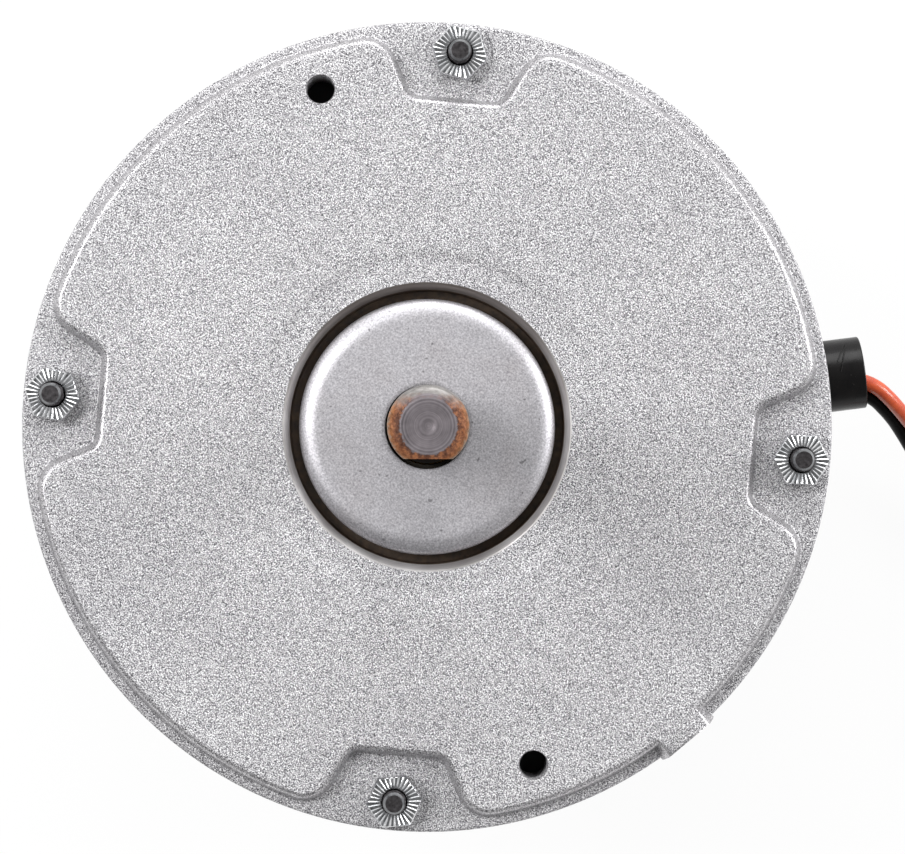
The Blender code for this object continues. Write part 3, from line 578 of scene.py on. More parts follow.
def rings_about_axis(look):
    """A point's distance from the shaft's axis, and its x, y and z."""
    split = look.node("SeparateXYZ", {"Vector": look.where})
    x, y = split.outputs[0], split.outputs[1]
    squares = look.plus(look.times(x, x), look.times(y, y))
    return look.maths("SQRT", squares), split


def height_in_picture(look, split):
    """How far up the picture a point lies from the shaft's axis."""
    up = Vector(at_angle(1.0, 90 + VIEW_TURN))
    return look.plus(look.times(split.outputs[0], up.x), look.times(split.outputs[1], up.y))


def machined():
    look = Look("machined_aluminium", 0.85)
    radius, split = rings_about_axis(look)
    tool = look.bands(radius, 9000.0, 2.0)
    cloud = look.noise(140, 2.0)
    tone = look.plus(look.times(tool, 0.4), look.times(cloud, 0.6))
    base = look.tones(tone, (176, 172, 170), (226, 224, 224))
    # Painted shade: the lip is darkened on the side that the picture has at its top, where its slope faces away
    # from the lamps.
    painted_shade_top = look.spread(height_in_picture(look, split), -0.004, 0.022, 0.0, 0.85)
    base = look.mix(painted_shade_top, base, (98, 90, 84))
    look.bump(tool, 0.2, 0.00003)
    return look.done(base, look.spread(cloud, 0.3, 0.7, 0.28, 0.45))


def pressed_steel():
    """The bearing caps: matt tumbled steel with a very fine grain, darker specks and soft stains."""
    look = Look("pressed_steel", 0.9)
    grain = look.noise(3200, 2.0, 0.6)
    stains = look.noise(90, 3.0, 0.6)
    specks = look.noise(700, 1.0)
    tone = look.tones(grain, (164, 162, 167), (222, 220, 224))
    tone = look.mix(look.spread(stains, 0.45, 0.75, 0.0, 0.35), tone, (172, 165, 160), "MULTIPLY")
    tone = look.mix(look.spread(specks, 0.735, 0.78, 0.0, 0.6), tone, (90, 88, 90))
    look.bump(grain, 0.35, 0.00006)
    return look.done(tone, look.spread(stains, 0.3, 0.7, 0.4, 0.52))


def shaft_steel():
    """Ground steel with a turned end face, rust on its chamfer, and oil with painted shade darkening it where it
    enters the cap.
    """
    look = Look("shaft_steel", 0.6, Specular_IOR_Level=0.3)
    radius, split = rings_about_axis(look)
    height = split.outputs[2]
    ground = look.noise(1.0, 3.0, 0.6, look.stretched(700, 700, 3500))
    face_rings = look.bands(radius, 3600.0, 3.0)
    cloud = look.noise(520, 2.0)
    on_face = look.spread(height, (SHAFT_TIP_Z - 0.3) * MM, (SHAFT_TIP_Z - 0.18) * MM)
    side = look.tones(ground, (106, 103, 101), (150, 147, 145))
    turned_face = look.plus(look.times(face_rings, 0.5), look.times(cloud, 0.5))
    tone = look.mix(on_face, side, look.tones(turned_face, (92, 87, 90), (142, 135, 139)))
    # The rust lies on the chamfer, but for the side that the picture has at its top.
    across = height_in_picture(look, split)
    patches = look.noise(1300, 4.0, 0.7)
    ragged = look.times(look.maths("SUBTRACT", look.noise(800, 5.0, 0.7), 0.5), 1.6 * MM)
    edge = look.spread(look.plus(radius, ragged), 4.3 * MM, 4.55 * MM)
    low_side = look.spread(look.plus(across, look.times(ragged, 2.0)), 2.6 * MM, 4.9 * MM, 1.0, 0.0)
    tip = SHAFT_TIP_Z
    near_tip = look.spread(look.plus(height, ragged), (tip - 2.6) * MM, (tip - 1.2) * MM)
    rust = look.times(look.times(edge, low_side), near_tip)
    rust = look.times(rust, look.spread(patches, 0.3, 0.62, 1.0, 0.8))
    rust_tone = look.ramp(
        look.spread(look.plus(radius, ragged), 4.3 * MM, SHAFT_R * MM),
        (0.0, (50, 35, 28)), (0.2, (82, 41, 12)), (0.6, (120, 62, 16)),
        (0.85, (130, 79, 33)), (1.0, (140, 124, 108)),
    )
    rust_tone = look.mix(look.spread(patches, 0.5, 0.66, 0.0, 0.8), rust_tone, (176, 104, 40))
    rust_tone = look.mix(look.spread(patches, 0.34, 0.48, 0.75, 0.0), rust_tone, (58, 30, 16))
    tone = look.mix(rust, tone, rust_tone)
    # Painted shade with oil: a dark band on the shaft where it passes into the cap's hole.
    below_cap = look.spread(height, 129.0 * MM, 131.5 * MM, 1.0, 0.0)
    oil_and_shade_at_cap = look.times(below_cap, look.spread(height, 118.0 * MM, 124.0 * MM))
    tone = look.mix(oil_and_shade_at_cap, tone, (26, 22, 19))
    look.bump(ground, 0.15, 0.00003)
    look.bump(face_rings, 0.2, 0.00003)
    look.bump(look.times(patches, rust), 0.5, 0.0001)
    look.plug(look.shader.inputs["Metallic"], look.maths("SUBTRACT", 0.6, look.times(rust, 0.6)))
    return look.done(tone, look.spread(rust, 0.0, 1.0, 0.42, 0.75))


def zinc_plate():
    look = Look("zinc_plate", 1.0)
    grain = look.noise(1800, 3.0, 0.6)
    cloud = look.noise(420, 2.0)
    base = look.tones(cloud, (178, 180, 183), (228, 228, 229))
    look.bump(grain, 0.3, 0.00004)
    return look.done(base, look.spread(grain, 0.3, 0.7, 0.16, 0.3))


def clouded(name, metallic, noise, dark, light, rough, bump, depth):
    """Two soft tones: a zinc that is painted shade between a nut's teeth and a painted highlight on a bolt's
    tip, and dark grime with painted shade in the recess.
    """
    look = Look(name, metallic)
    cloud = look.noise(*noise)
    look.bump(cloud, bump, depth)
    return look.done(look.tones(cloud, dark, light), look.spread(cloud, 0.3, 0.7, *rough))


def shell_paint():
    """Satin black paint over rolled sheet, a little worn."""
    look = Look("shell_paint", 0.0, Coat_Weight=0.25, Coat_Roughness=0.3)
    peel = look.noise(620, 2.0)
    cloud = look.noise(45, 3.0)
    dust = look.noise(2600, 2.0)
    base = look.tones(cloud, (24, 24, 26), (36, 36, 38))
    base = look.mix(look.spread(dust, 0.62, 0.75, 0.0, 0.3), base, (96, 95, 94))
    look.bump(peel, 0.25, 0.00006)
    return look.done(base, look.spread(cloud, 0.3, 0.7, 0.38, 0.5))


def rubber(name, dark, light):
    look = Look(name, 0.0, Specular_IOR_Level=0.22)
    cloud = look.noise(260, 3.0, 0.6)
    marks = look.noise(1.0, 2.0, 0.6, look.stretched(500, 500, 1500))
    dust = look.noise(2400, 2.0)
    base = look.tones(cloud, dark, light)
    base = look.mix(look.spread(dust, 0.68, 0.78, 0.0, 0.2), base, (96, 92, 90))
    look.bump(marks, 0.2, 0.00006)
    look.bump(cloud, 0.3, 0.0001)
    return look.done(base, look.spread(cloud, 0.3, 0.7, 0.2, 0.34))


def insulation(name, dark, light, rough, gloss):
    """Extruded insulation: faint streaks, small ripples and a soft shine."""
    look = Look(name, 0.0, Specular_IOR_Level=gloss, Coat_Weight=gloss * 0.25, Coat_Roughness=0.2)
    streaks = look.noise(420, 3.0, 0.6)
    ripple = look.noise(900, 1.0)
    base = look.tones(streaks, dark, light)
    look.bump(ripple, 0.25, 0.00008)
    return look.done(base, look.spread(streaks, 0.3, 0.7, *rough))


def laminations():
    """Stacked sheet: fine bands across the shaft's direction."""
    look = Look("laminations", 0.7)
    sheets = look.bands(look.node("SeparateXYZ", {"Vector": look.where}).outputs[2], 2000.0)
    base = look.tones(sheets, (92, 92, 96), (150, 150, 154))
    look.bump(sheets, 0.5, 0.0001)
    return look.done(base, look.spread(sheets, 0.3, 0.7, 0.4, 0.6))


def varnished_copper():
    """End turns: thin wires laid round the bore under varnish."""
    look = Look("varnished_copper", 0.5, Coat_Weight=0.4, Coat_Roughness=0.2)
    lay = look.bands(rings_about_axis(look)[0], 1700.0)
    cloud = look.noise(120, 2.0)
    base = look.tones(lay, (112, 50, 24), (196, 112, 60))
    base = look.mix(look.spread(cloud, 0.4, 0.7, 0.0, 0.4), base, (120, 70, 40))
    look.bump(lay, 0.6, 0.0003)
    return look.done(base, look.spread(cloud, 0.3, 0.7, 0.28, 0.45))


looks = {
    "cast": cast_metal("cast_aluminium", ((36, 36, 40), (170, 168, 172), (255, 255, 255)), 0.4, (0.4, 0.6), 0.9),
    # A lighter, glossier copy of the casting for the sloping edges: wear with a painted highlight.
    "wear_and_highlight": cast_metal(
        "edges_wear_and_highlight", ((96, 95, 98), (176, 174, 177), (250, 249, 250)), 0.7, (0.24, 0.36), 0.4
    ),
    "machined": machined(),
    # Dark grime with painted shade, for the recess round the cap.
    "dirt_and_shade": clouded(
        "recess_dirt_and_shade", 0.2, (700, 3.0, 0.6), (40, 30, 22), (84, 68, 53), (0.45, 0.75), 0.5, 0.0001
    ),
    "cap": pressed_steel(),
    "shaft": shaft_steel(),
    "zinc": zinc_plate(),
    # Zinc as painted shade between a nut's teeth, and as a painted highlight on a bolt's tip.
    "zinc_shade_and_highlight": clouded(
        "zinc_shade_and_highlight", 0.9, (900, 2.0), (104, 106, 108), (150, 151, 153), (0.25, 0.4), 0.3, 0.00004
    ),
    "shell": shell_paint(),
    "sleeve": rubber("black_rubber", (7, 6, 7), (16, 14, 14)),
    "orange": insulation("orange_insulation", (184, 58, 20), (214, 88, 34), (0.26, 0.36), 0.7),
    "black": insulation("black_insulation", (4, 3, 3), (9, 8, 8), (0.25, 0.4), 0.06),
    "nylon": simple(
        "terminal_nylon", (150, 18, 22), (182, 30, 32), 900, (0.25, 0.4), Subsurface_Weight=0.15, Coat_Weight=0.2
    ),
    "tie_nylon": simple("tie_nylon", (16, 16, 17), (30, 30, 31), 1100, (0.35, 0.5)),
    "tin_brass": simple("tinned_brass", (150, 140, 110), (205, 195, 160), 1500, (0.2, 0.35), 1.0),
    "laminations": laminations(),
    "copper": varnished_copper(),
    "rotor_aluminium": simple(
        "rotor_aluminium", (150, 150, 153), (205, 205, 208), 700, (0.35, 0.55), 0.9, 0.5, 0.0001
    ),
    "bronze": simple("sintered_bronze", (120, 88, 48), (176, 138, 86), 1600, (0.4, 0.6), 0.9),
    "felt": simple("oiled_felt", (24, 20, 15), (48, 41, 31), 1300, (0.8, 0.95), 0.0, 0.8, 0.0003),
    "fibre": simple("pressed_fibre", (120, 96, 64), (160, 132, 92), 900, (0.6, 0.8), 0.0, 0.5, 0.0001),
    "governor": simple("governor_steel", (140, 140, 138), (200, 200, 196), 1200, (0.3, 0.45), 0.95),
    "phenolic": simple("phenolic", (70, 36, 20), (104, 58, 34), 500, (0.4, 0.6), 0.0, 0.3, 0.0001),
    "silver": simple("contact_silver", (170, 166, 155), (225, 222, 214), 1500, (0.25, 0.4), 1.0),
    "protector": simple("protector_case", (20, 20, 21), (36, 36, 37), 800, (0.3, 0.45)),
    "bolt": simple("bolt_steel", (54, 52, 53), (88, 85, 87), 1500, (0.3, 0.42), 0.85, 0.5, 0.00008),
    "foil": simple(
        "label_foil", (176, 176, 179), (206, 206, 208), 300, (0.3, 0.42), 0.85, 0.2, 0.00005, (1, 1, 12)
    ),
    "foil_border": simple("label_border", (40, 42, 46), (56, 58, 62), 700, (0.35, 0.5), 0.1),
}


# ---- end shields


# The raised face's edge as (how far into the metal, height): a foot fillet, a drafted wall, a rounded top.
EDGE_PROFILE = (
    (-0.85, 0.0), (-0.65, 0.03), (-0.46, 0.14), (-0.33, 0.35), (-0.22, 0.7), (-0.04, 1.5), (0.1, 2.1),
    (0.24, 2.5), (0.44, 2.82), (0.72, 3.05), (1.05, 3.16), (1.4, 3.2), (1.8, 3.2),
)


def towards(angle):
    return Vector((math.cos(angle), math.sin(angle)))


def outline(inset):
    """The raised face's edge, moved this far into the metal: four arcs, with a notch round each bolt.

    A notch has a flat floor, a fillet at each end of it, flared sides and a wide fillet at its mouth.
    """
    ahead = towards(NOTCH_FLARE)
    into_metal = Vector((-ahead.y, ahead.x))
    corner = Vector((NOTCH_DEPTH_R - inset, NOTCH_HALF + inset * (1 - ahead.y) / ahead.x))
    sweep = math.pi / 2 - NOTCH_FLARE
    low_r = NOTCH_BOTTOM_FILLET + inset
    low_centre = corner + Vector((low_r, -low_r * math.tan(sweep / 2)))
    low = [low_centre + low_r * towards(math.pi - sweep * k / 8) for k in range(9)]
    high_r = NOTCH_MOUTH_FILLET - inset
    foot = corner + high_r * into_metal
    inner = FACE_R - inset - high_r
    reach = -foot.dot(ahead) + math.sqrt(foot.dot(ahead) ** 2 - foot.length_squared + inner**2)
    high_centre = foot + reach * ahead
    first = math.atan2(-into_metal.y, -into_metal.x)
    last = math.atan2(high_centre.y, high_centre.x)
    high = [high_centre + high_r * towards(first + (last - first) * k / 12) for k in range(13)]
    floor = [Vector((low[0].x, low[0].y * k / 5)) for k in range(-4, 5)]
    side = [low[-1].lerp(high[0], k / 4) for k in range(1, 4)]
    up = low + side + high
    down = [Vector((p.x, -p.y)) for p in reversed(up)]
    mouth = math.degrees(math.atan2(up[-1].y, up[-1].x))
    arc = [Vector(at_angle(FACE_R - inset, mouth + (90 - 2 * mouth) * k / 34)) for k in range(1, 34)]
    points = []
    for k in range(4):
        turned = Matrix.Rotation(k * math.pi / 2, 2)
        points += [turned @ p for p in down + floor + up + arc]
    return points


def end_shield(name):
    """One loft for the whole casting, through circles and through the raised face's notched edge."""
    face = outline(0.0)
    angles = [math.degrees(math.atan2(p.y, p.x)) for p in face]
    rings = [ring(RIM_R, z, angles) for z in (-3.5, -2.2, -0.5)]
    rings += [ring(r, z, angles) for r, z in quarter(RIM_R - 0.5, -0.5, 0.5, 0.5, 4, True)]
    rings.append(ring(RIM_R - 0.75, 0.0, angles))
    rings += [[(p.x, p.y, z) for p in outline(inset)] for inset, z in EDGE_PROFILE]
    low = FACE_Z - STEP_DROP
    # The raised face, its step, the lip and the recess, then the hub's inside, the wall, and the pilot.
    profile = [
        (45.0, FACE_Z), (STEP_R + 1.2, FACE_Z), (STEP_R + 0.7, FACE_Z - 0.03), (STEP_R + 0.2, FACE_Z - 0.12),
        (STEP_R - 0.3, low + 0.1), (STEP_R - 0.8, low + 0.02), (STEP_R - 1.4, low),
        (LIP_R + 0.5, low), (LIP_R + 0.15, low), (LIP_R - 0.05, low - 0.05), (LIP_R - 0.22, low - 0.18),
        (LIP_R - 0.42, low - 0.42), (RECESS_R + 0.08, FACE_Z - 1.45), (RECESS_R, FACE_Z - 1.6),
        (RECESS_R, RECESS_Z + 0.5), (RECESS_R - 0.15, RECESS_Z + 0.15), (RECESS_R - 0.5, RECESS_Z),
        (21.3, RECESS_Z), (21.3, 0.5), (13.4, 0.5), (13.4, -18.4), (9.0, -22.8), (17.0, -22.8), (17.0, -4.0),
        (26.1, -4.0), (27.1, -0.6), (54.0, -0.6), (56.0, -3.5), (62.6, -3.5), (62.6, -10.0), (69.6, -10.0),
        (69.6, -3.5),
    ]
    rings += [ring(r, z, angles) for r, z in profile]
    shield = skin(name, rings, wrap=True, sharp=40)

    carve(shield, spout_block(), "UNION", "MANIFOLD", 40)
    spot_face = [(0, -0.12), (5.85, -0.12), (5.95, 0.05), (5.95, 2.0), (0, 2.0)]
    bolt_hole = [(0, -14), (2.4, -14), (2.4, 2), (0, 2)]
    weep_hole = [(0, -14), (2.45, -14), (2.45, 2.9), (2.65, 3.3), (2.65, 6), (0, 6)]
    cuts = []
    for angle in (0, 90, 180, 270):
        cuts += [(spot_face, 72, BOLT_CIRCLE_R, angle), (bolt_hole, 32, BOLT_CIRCLE_R, angle)]
    cuts += [(weep_hole, 48, WEEP_HOLE_R, angle) for angle in WEEP_HOLE_ANGLES]
    for profile, steps, radius, angle in cuts:
        cutter = moved(lathe("cutter", profile, steps), shift(*at_angle(radius, angle)))
        carve(shield, cutter, "DIFFERENCE", "MANIFOLD", 40)

    painted(shield, "cast", "machined", "dirt_and_shade", "wear_and_highlight")
    for polygon in shield.data.polygons:
        centre = polygon.center / MM
        r = math.hypot(centre.x, centre.y)
        if RECESS_R + 0.2 < r < LIP_R + 0.1:
            polygon.material_index = 1
        # Slot 2: dark grime with painted shade down in the recess.
        elif r <= RECESS_R + 0.2 and centre.z > RECESS_Z - 0.5:
            polygon.material_index = 2
        # Slot 3: sloping faces out near the rim take edge wear with a painted highlight.
        elif r > WEAR_AND_HIGHLIGHT_FROM_R and centre.z > 0.1 and -0.1 < polygon.normal.z < 0.95:
            polygon.material_index = 3
        else:
            polygon.material_index = 0
    return shield


def spout_block():
    """A low spout that carries the raised face out past the rim, with sloping sides."""
    levels = ((-1.0, 5.9, 71.75), (0.3, 5.6, 71.8), (2.4, 4.7, 71.9), (3.0, 4.4, 71.8), (3.18, 4.05, 71.45))
    rings = [[(60.0, -wide, z), (end, -wide, z), (end, wide, z), (60.0, wide, z)] for z, wide, end in levels]
    spout = skin("spout", [[(66, 0, -1.0)], *rings, [(66, 0, 3.18)]])
    return moved(spout, turn(SPOUT_ANGLE))


# ---- other pieces of the outside


# From a tube that stands about Z to the sleeve's line, out of the shell.
TO_SLEEVE = shift(z=SLEEVE_Z) @ turn(LEAD_ANGLE) @ turn(90, "Y")


def shell():
    """Rolled sheet with a flush weld along it, and the hole that the leads come out of."""
    angles = sorted(even_angles(192) + [WELD_ANGLE + 0.14 * k for k in range(-8, 9)])

    def round_at(radius, z, bead=0.0):
        """A ring that swells by this much over the weld."""
        swell = {a: bead * math.exp(-(((a - WELD_ANGLE) / 0.55) ** 2)) for a in angles}
        return [(*at_angle(radius + swell[a], a), z) for a in angles]

    low, high = SHELL_Z
    heights = [low + 0.25, *(low + (high - low) * k / 8 for k in range(1, 8)), high - 0.25]
    rings = [round_at(r, z) for r, z in ((69.9, high - 0.3), (69.9, low + 0.3), (70.2, low), (70.55, low))]
    rings += [round_at(70.8, z, 0.14) for z in heights]
    rings += [round_at(r, high) for r in (70.55, 70.2)]
    body = skin("shell", rings, wrap=True)
    hole = lathe("hole", [(0, 60), (7.5, 60), (7.5, 80), (0, 80)], 64)
    carve(body, moved(hole, TO_SLEEVE))
    return painted(body, "shell")


def label():
    """Blank foil with a dark printed border."""
    low_z, high_z = 40.0, 92.0
    columns = [200.0 + k for k in range(61)]
    rows = [low_z, low_z + 0.25, low_z + 2.0, low_z + 3.0, high_z - 3.0, high_z - 2.0, high_z - 0.25, high_z]
    grid = [(radius, z, a) for radius in (70.95, 71.2) for z in rows for a in columns]
    points = [Vector((*at_angle(radius, a), z)) * MM for radius, z, a in grid]
    across, up = len(columns), len(rows)
    size = across * up
    faces, slots = [], []
    for j in range(up - 1):
        for i in range(across - 1):
            a = j * across + i
            b = a + size
            faces += [(a, a + across, a + across + 1, a + 1), (b, b + 1, b + across + 1, b + across)]
            border = 2 <= j <= 4 and 1 <= i <= across - 3 and (j != 3 or i in (1, across - 3))
            slots += [0, int(border)]
    edges = [(j * across + i, across, i > 0) for j in range(up - 1) for i in (0, across - 1)]
    edges += [(j * across + i, 1, j == 0) for i in range(across - 1) for j in (0, up - 1)]
    for a, step, flip in edges:
        loop = (a, a + size, a + size + step, a + step)
        faces.append(loop[::-1] if flip else loop)
        slots.append(0)
    mesh = bpy.data.meshes.new("blank_label")
    mesh.from_pydata(points, [], faces)
    foil = painted(placed("blank_label", smoothed(mesh)), "foil", "foil_border")
    for polygon, slot in zip(mesh.polygons, slots, strict=True):
        polygon.material_index = slot
    return foil


CUP_RIM = [(22.5, -1.6), (22.4, -1.7), (21.7, -1.7), (21.6, -1.6)]


def front_cap():
    profile = [(7.35, 4.0), (7.4, 4.12), (7.6, 4.2), (8.2, 4.2), (14.0, 4.2), (18.2, 4.2), (19.2, 4.2)]
    profile += [*quarter(19.2, 2.0, 3.3, 2.2, 14), (22.5, 1.0), *CUP_RIM]
    profile += [(21.6, 2.0), *quarter(20.3, 2.0, 1.3, 1.3, 6, True), (7.6, 3.3), (7.4, 3.4), (7.35, 3.55)]
    cap = painted(lathe("front_cap", profile, 160, 40), "cap")
    return moved(cap, shift(z=FRONT_RIM_Z))


def rear_cap():
    profile = [(0, 2.7), (6.0, 2.7), (18.0, 2.7), (20.3, 2.7), *quarter(20.3, 0.5, 2.2, 2.2, 8), *CUP_RIM]
    profile += [(21.6, 0.5), *quarter(20.3, 0.5, 1.3, 1.3, 5, True), (0, 1.8)]
    cap = painted(lathe("rear_cap", profile, 128, 40), "cap")
    return moved(cap, shift(z=REAR_RIM_Z) @ turn(180, "X"))


def shaft():
    tip = SHAFT_TIP_Z
    profile = [
        (0, 6.0), (SHAFT_R - 0.6, 6.0), (SHAFT_R, 6.6), (SHAFT_R, 28.3), (SHAFT_R, 28.6), (8.0, 28.6),
        (8.0, 98.4), (SHAFT_R, 98.4), (SHAFT_R, 99.0), (SHAFT_R, 158.0), (SHAFT_R, tip - 1.6),
        (6.33, tip - 1.38), (6.2, tip - 1.1), (5.95, tip - 0.75),
        (5.6, tip - 0.5), (5.1, tip - 0.28), (4.6, tip - 0.08), (4.35, tip - 0.01), (4.1, tip), (2.5, tip),
        (1.25, tip), (1.0, tip - 0.04), (0.8, tip - 0.1), (0.45, tip - 0.14), (0.2, tip - 0.15),
        (0, tip - 0.15),
    ]
    body = lathe("shaft_body", profile, 128, 40)
    flat = moved(block("flat", (4.0, 16.0, 89.0)), turn(-85) @ shift(7.1, 0, tip - 42.5))
    return painted(carve(body, flat, sharp=40), "shaft")


def hexagon_r(angle):
    """The distance to a hexagon's edge, at this angle from one of its corners."""
    return ACROSS_FLATS / 2 / math.cos(math.radians(angle % 60 - 30))


def bolt(number):
    """A long bolt: a chamfered hexagon head behind, and a cut thread on the end that shows in front."""
    pitch, depth, thread_z = 0.794, 0.3, 121.3
    head_top, head_low = 2.9, 0.3
    angles = even_angles(36)

    def hexagon(z, trim):
        return [(*at_angle(min(hexagon_r(a - 15 * number), trim), a), z) for a in angles]

    rings = [[(0, 0, head_low + 0.35)], ring(2.2, head_low + 0.35, angles), ring(2.8, head_low, angles)]
    rings += [ring(4.0, head_low, angles), hexagon(head_low + 0.12, 4.35), hexagon(head_low + 0.45, 5.2)]
    rings += [hexagon(head_top, 5.2), ring(BOLT_R + 0.25, head_top, angles)]
    rings += [ring(BOLT_R, z, angles) for z in (head_top + 0.3, 60.0, 121.0)]
    rows = round((BOLT_TIP_Z - thread_z) / (pitch / 8))
    for row in range(rows + 1):
        z = thread_z + (BOLT_TIP_Z - thread_z) * row / rows
        near_end = max(0.0, z - (BOLT_TIP_Z - 0.75))
        here = []
        for a in angles:
            phase = ((z - thread_z) / pitch - a / 360) % 1.0
            r = BOLT_R - depth * abs(2 * phase - 1) ** 0.8
            here.append((*at_angle(min(r, BOLT_R - near_end * 0.75), a), z))
        rings.append(here)
    rings += [ring(1.42, BOLT_TIP_Z, angles), [(0, 0, BOLT_TIP_Z)]]
    body = painted(skin(f"bolt_{number + 1}", rings, sharp=38), "bolt", "zinc_shade_and_highlight")
    # The chamfer round the tip takes the lighter zinc: a painted highlight.
    for polygon in body.data.polygons:
        if polygon.center.z > (BOLT_TIP_Z - 0.6) * MM and polygon.normal.z < 0.9:
            polygon.material_index = 1
    return moved(body, shift(*at_angle(BOLT_CIRCLE_R, 90 * number)))


def nut(number):
    """A hexagon nut whose outer face carries a ring of sharp radial teeth."""
    teeth, per_tooth = 32, 8
    angles = even_angles(teeth * per_tooth)
    low, high = FRONT_RIM_Z + 0.3, FRONT_RIM_Z + 3.5
    flats_r = ACROSS_FLATS / 2
    heights = [draw.uniform(0.75, 1.0) for _ in range(teeth)]

    def side_r(a):
        return hexagon_r(a - NUT_TURNS[number])

    def hexagon(height_at, pull=0.0):
        return [(*at_angle(side_r(a) - pull, a), height_at(side_r(a))) for a in angles]

    def toothed(radius_at, depth):
        """A ring that is high on each tooth's crest and this deep between the teeth."""
        here = []
        for k, a in enumerate(angles):
            phase = (k % per_tooth) / per_tooth
            crest = max(0.0, 1 - abs(phase - 0.5) / 0.25) * heights[k // per_tooth]
            here.append((*at_angle(radius_at(a), a), high - depth * (1.0 - crest)))
        return here

    def sloped(drop):
        """A height that falls from the flats towards the corners."""
        return lambda r: high - drop - (r - flats_r) * 0.12

    def under(r):
        return low + 0.12 + (r - flats_r) * 0.5

    rings = [ring(2.55, low, angles), hexagon(under, 0.12), hexagon(lambda r: under(r) + 0.18)]
    rings += [hexagon(sloped(0.36)), hexagon(sloped(0.2), 0.1)]
    for pull, depth in ((0.2, 0.14), (0.34, 0.15)):
        rings.append(toothed(lambda a, pull=pull: side_r(a) - pull, depth))
    for radius, depth in ((3.1, 0.14), (2.4, 0.13), (2.26, 0.3)):
        rings.append(toothed(lambda a, radius=radius: radius, depth))
    rings += [ring(2.2, high - 0.7, angles), ring(2.3, low + 0.15, angles)]
    body = painted(skin(f"nut_{number + 1}", rings, wrap=True, sharp=30), "zinc", "zinc_shade_and_highlight")
    # The flat floors between the teeth take the darker zinc: painted shade.
    for polygon in body.data.polygons:
        if polygon.normal.z > 0.97 and (high - 0.25) * MM < polygon.center.z < (high - 0.1) * MM:
            polygon.material_index = 1
    return moved(body, shift(*at_angle(BOLT_CIRCLE_R, 90 * number)))


def sleeve():
    """The rubber tube through the shell, rounded at its mouth, with two raised creases."""
    profile = rounded([
        (SLEEVE_BORE_R, 66.9), (SLEEVE_BORE_R, SLEEVE_END, 0.25), (SLEEVE_R, SLEEVE_END, 0.28),
        (SLEEVE_R, 76.0), (SLEEVE_R, 71.0), (SLEEVE_R, 68.9, 0.3), (9.0, 68.9, 0.3), (9.0, 66.9, 0.3),
    ])
    body = painted(lathe("sleeve_tube", profile, 96, 50), "sleeve")
    creases = []
    for first, last in (((85.0, 55.0), (82.9, 20.0)), ((85.5, 58.0), (83.3, 5.0))):
        points = []
        for k in range(13):
            along, lean = Vector(first).lerp(Vector(last), k / 12)
            # The tube is built standing up, and its -X side ends up on top.
            points.append((*at_angle(SLEEVE_R - 0.1, 180 - lean), along))
        creases.append(wire_mesh("crease", points, 0.2, "sleeve"))
    return moved(joined("lead_sleeve_tube", [body, *creases]), TO_SLEEVE)


# ---- the leads in the scene



def stands_for(piece, slot, *nodes, body="motor_housing"):
    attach(piece, body)
    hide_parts(*nodes)


orange_line = lead_line(
    ORANGE_PLACE, ORANGE_ROUTE, ORANGE_TAIL, 10.2, 1300, LAYER_Z[0], lambda first: 335,
    lambda a, first: 3.1 * smoothstep(a, 330, 392) + LEAD_PITCH * max(a - 392, 0) / 360,
)
black_line = lead_line(
    BLACK_PLACE, BLACK_ROUTE, BLACK_TAIL, 13.3, 1265, LAYER_Z[1], lambda first: first + 70,
    lambda a, first: LEAD_PITCH * (a - first) / 360,
)
orange = painted(tube("orange_lead", smooth_route(orange_line, 1.1), LEAD_R), "orange")
black = painted(tube("black_lead", smooth_route(black_line, 1.1), LEAD_R), "black")
orange_end = terminal("orange_terminal", ORANGE_TAIL)
black_end = terminal("black_terminal", BLACK_TAIL)
tie = coil_tie()
stands_for(orange, "orange_insulation", "lead_orange", "lead_tail_orange", "lead_coil")
stands_for(black, "black_insulation", "lead_black", "lead_tail_black")
stands_for(orange_end, "terminal_nylon", "terminal_orange")
stands_for(black_end, "terminal_nylon", "terminal_black")
stands_for(tie, "black_insulation", "coil_tie")

# ---- the housing and the shaft

front = moved(end_shield("front_shield"), shift(z=FRONT_RIM_Z))
rear = moved(end_shield("rear_shield"), shift(z=REAR_RIM_Z) @ turn(180, "X"))
stands_for(front, "cast_aluminium", "front_end_shield")
stands_for(rear, "cast_aluminium", "rear_end_shield")
stands_for(shell(), "shell_paint", "stator_shell")
stands_for(label(), "label_foil", "rating_label")
stands_for(front_cap(), "pressed_steel", "front_bearing_cap")
stands_for(rear_cap(), "pressed_steel", "rear_bearing_cap")
stands_for(sleeve(), "black_rubber", "lead_sleeve")
for number in range(4):
    stands_for(bolt(number), "bolt_steel", f"through_bolt_{number + 1}")
    stands_for(nut(number), "zinc_plate", f"stud_nut_{number + 1}")
stands_for(shaft(), "shaft_steel", "shaft", body="rotor")

# ---- the governor's spring


def spring():
    """A coil between the collar, which slides, and the rotor, which doesn't."""
    low, high = SPRING_Z[0] + SPRING_WIRE_R, SPRING_Z[1] - SPRING_WIRE_R
    wound, a_turn = 4, 24
    count = wound * a_turn
    rise = (high - low) / count
    points = [(*at_angle(SPRING_R, 360 * k / a_turn), low + rise * k) for k in range(count + 1)]
    coil = wire_mesh("governor_spring_coil", points, SPRING_WIRE_R, "governor")
    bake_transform(coil)
    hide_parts("governor_spring")


spring()

# ---- CAD nodes that stay as they are

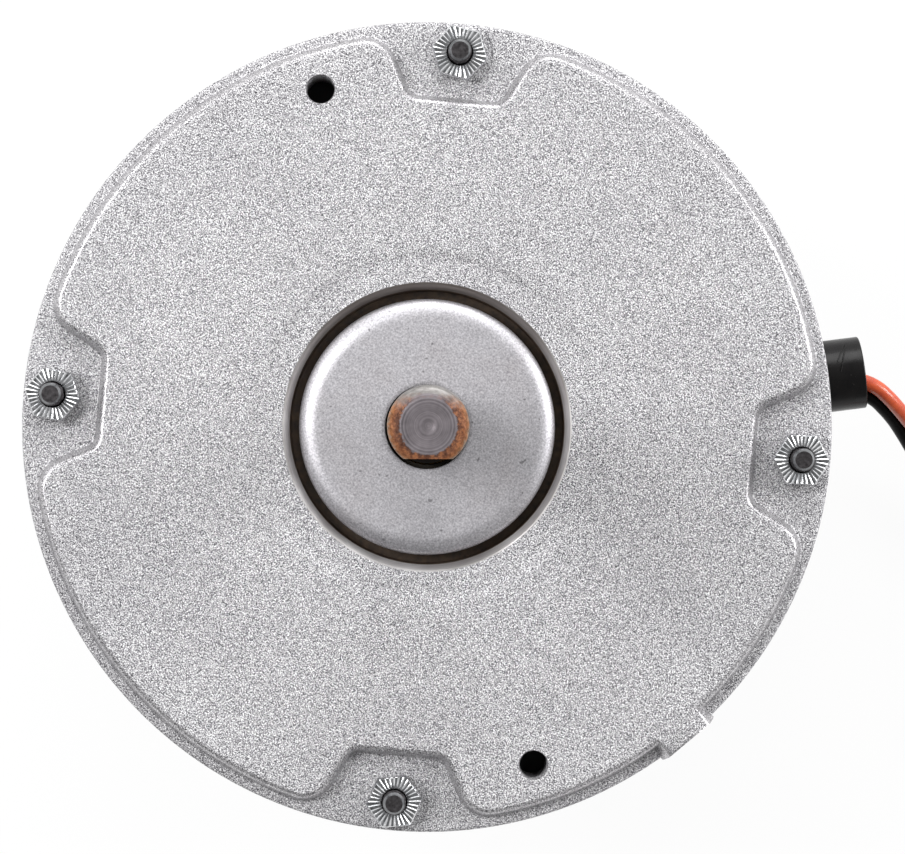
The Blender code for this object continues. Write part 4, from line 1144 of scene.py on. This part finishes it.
FINISHES = {
    "cap": ("front_bearing_retainer", "rear_bearing_retainer"),
    "zinc": ("switch_screw_1", "switch_screw_2", "switch_bracket", "governor_weight_1", "governor_weight_2"),
    "laminations": ("stator_core", "rotor_core"),
    "copper": ("stator_winding",),
    "rotor_aluminium": ("rotor_cage", "switch_post_1", "switch_post_2"),
    "bronze": ("front_bearing", "rear_bearing", "switch_arm"),
    "felt": ("front_oil_wick", "rear_oil_wick"),
    "fibre": ("front_thrust_washer", "rear_thrust_washer"),
    "governor": ("governor_plate", "governor_pin_1", "governor_pin_2"),
    "phenolic": ("governor_collar", "switch_board"),
    "silver": ("switch_contact",),
    "protector": ("thermal_protector",),
}
for key, nodes in FINISHES.items():
    for node in nodes:
        painted(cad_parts[node], key)

# ---- floor, light

floor_mesh = bpy.data.meshes.new("floor")
floor_mesh.from_pydata([(-3, -3, 0), (3, -3, 0), (3, 3, 0), (-3, 3, 0)], [], [(0, 1, 2, 3)])
floor = placed("floor", floor_mesh)
floor_look = Look("floor", 0.0, Emission_Strength=0.925, Emission_Color=(1, 1, 1, 1))
floor_tone = floor_look.tones(floor_look.noise(3.0, 2.0), (58, 58, 58), (62, 62, 62))
floor_mesh.materials.append(floor_look.done(floor_tone, 0.7))


def area_light(name, azimuth, height, distance, size, power):
    """A square lamp, in metres, aimed at the motor's front. Its azimuth is in the picture's own frame."""
    data = bpy.data.lights.new(name, "AREA")
    data.size = size
    data.energy = power
    lamp = placed(name, data)
    lamp.location = (*at_angle(distance, azimuth + VIEW_TURN), height)
    aim = Vector((0, 0, 0.12)) - lamp.location
    lamp.rotation_euler = aim.to_track_quat("-Z", "Y").to_euler()


area_light("left", 160, 0.95, 0.7, 0.45, 7.5)
area_light("top", 84, 0.65, 1.1, 0.7, 6.5)
area_light("right", 15, 0.5, 0.9, 0.35, 4.5)

world = bpy.data.worlds.new("studio")
bpy.context.scene.world = world
world.use_nodes = True
# The room is darker overhead than at the horizon, and lighter on the picture's upper side.
sky = world.node_tree.nodes
aim = sky.new("ShaderNodeTexCoord")
split_aim = sky.new("ShaderNodeSeparateXYZ")
fade = sky.new("ShaderNodeMapRange")
for key, value in (("From Min", 0.1), ("From Max", 0.95), ("To Min", 1.0), ("To Max", 0.42)):
    fade.inputs[key].default_value = value
lean = sky.new("ShaderNodeVectorMath")
lean.operation = "DOT_PRODUCT"
lean.inputs[1].default_value = (*at_angle(0.8, 72 + VIEW_TURN), 0.0)
share = sky.new("ShaderNodeMath")
share.operation = "MULTIPLY_ADD"
back = sky["Background"]
back.inputs["Color"].default_value = (1, 1, 1, 1)
for source, target in (
    (aim.outputs["Generated"], split_aim.inputs[0]),
    (split_aim.outputs[2], fade.inputs["Value"]),
    (aim.outputs["Generated"], lean.inputs[0]),
    (lean.outputs["Value"], share.inputs[0]),
    (fade.outputs[0], share.inputs[1]),
    (fade.outputs[0], share.inputs[2]),
    (share.outputs[0], back.inputs["Strength"]),
):
    world.node_tree.links.new(source, target)
bpy.context.scene.view_settings.view_transform = "Standard"
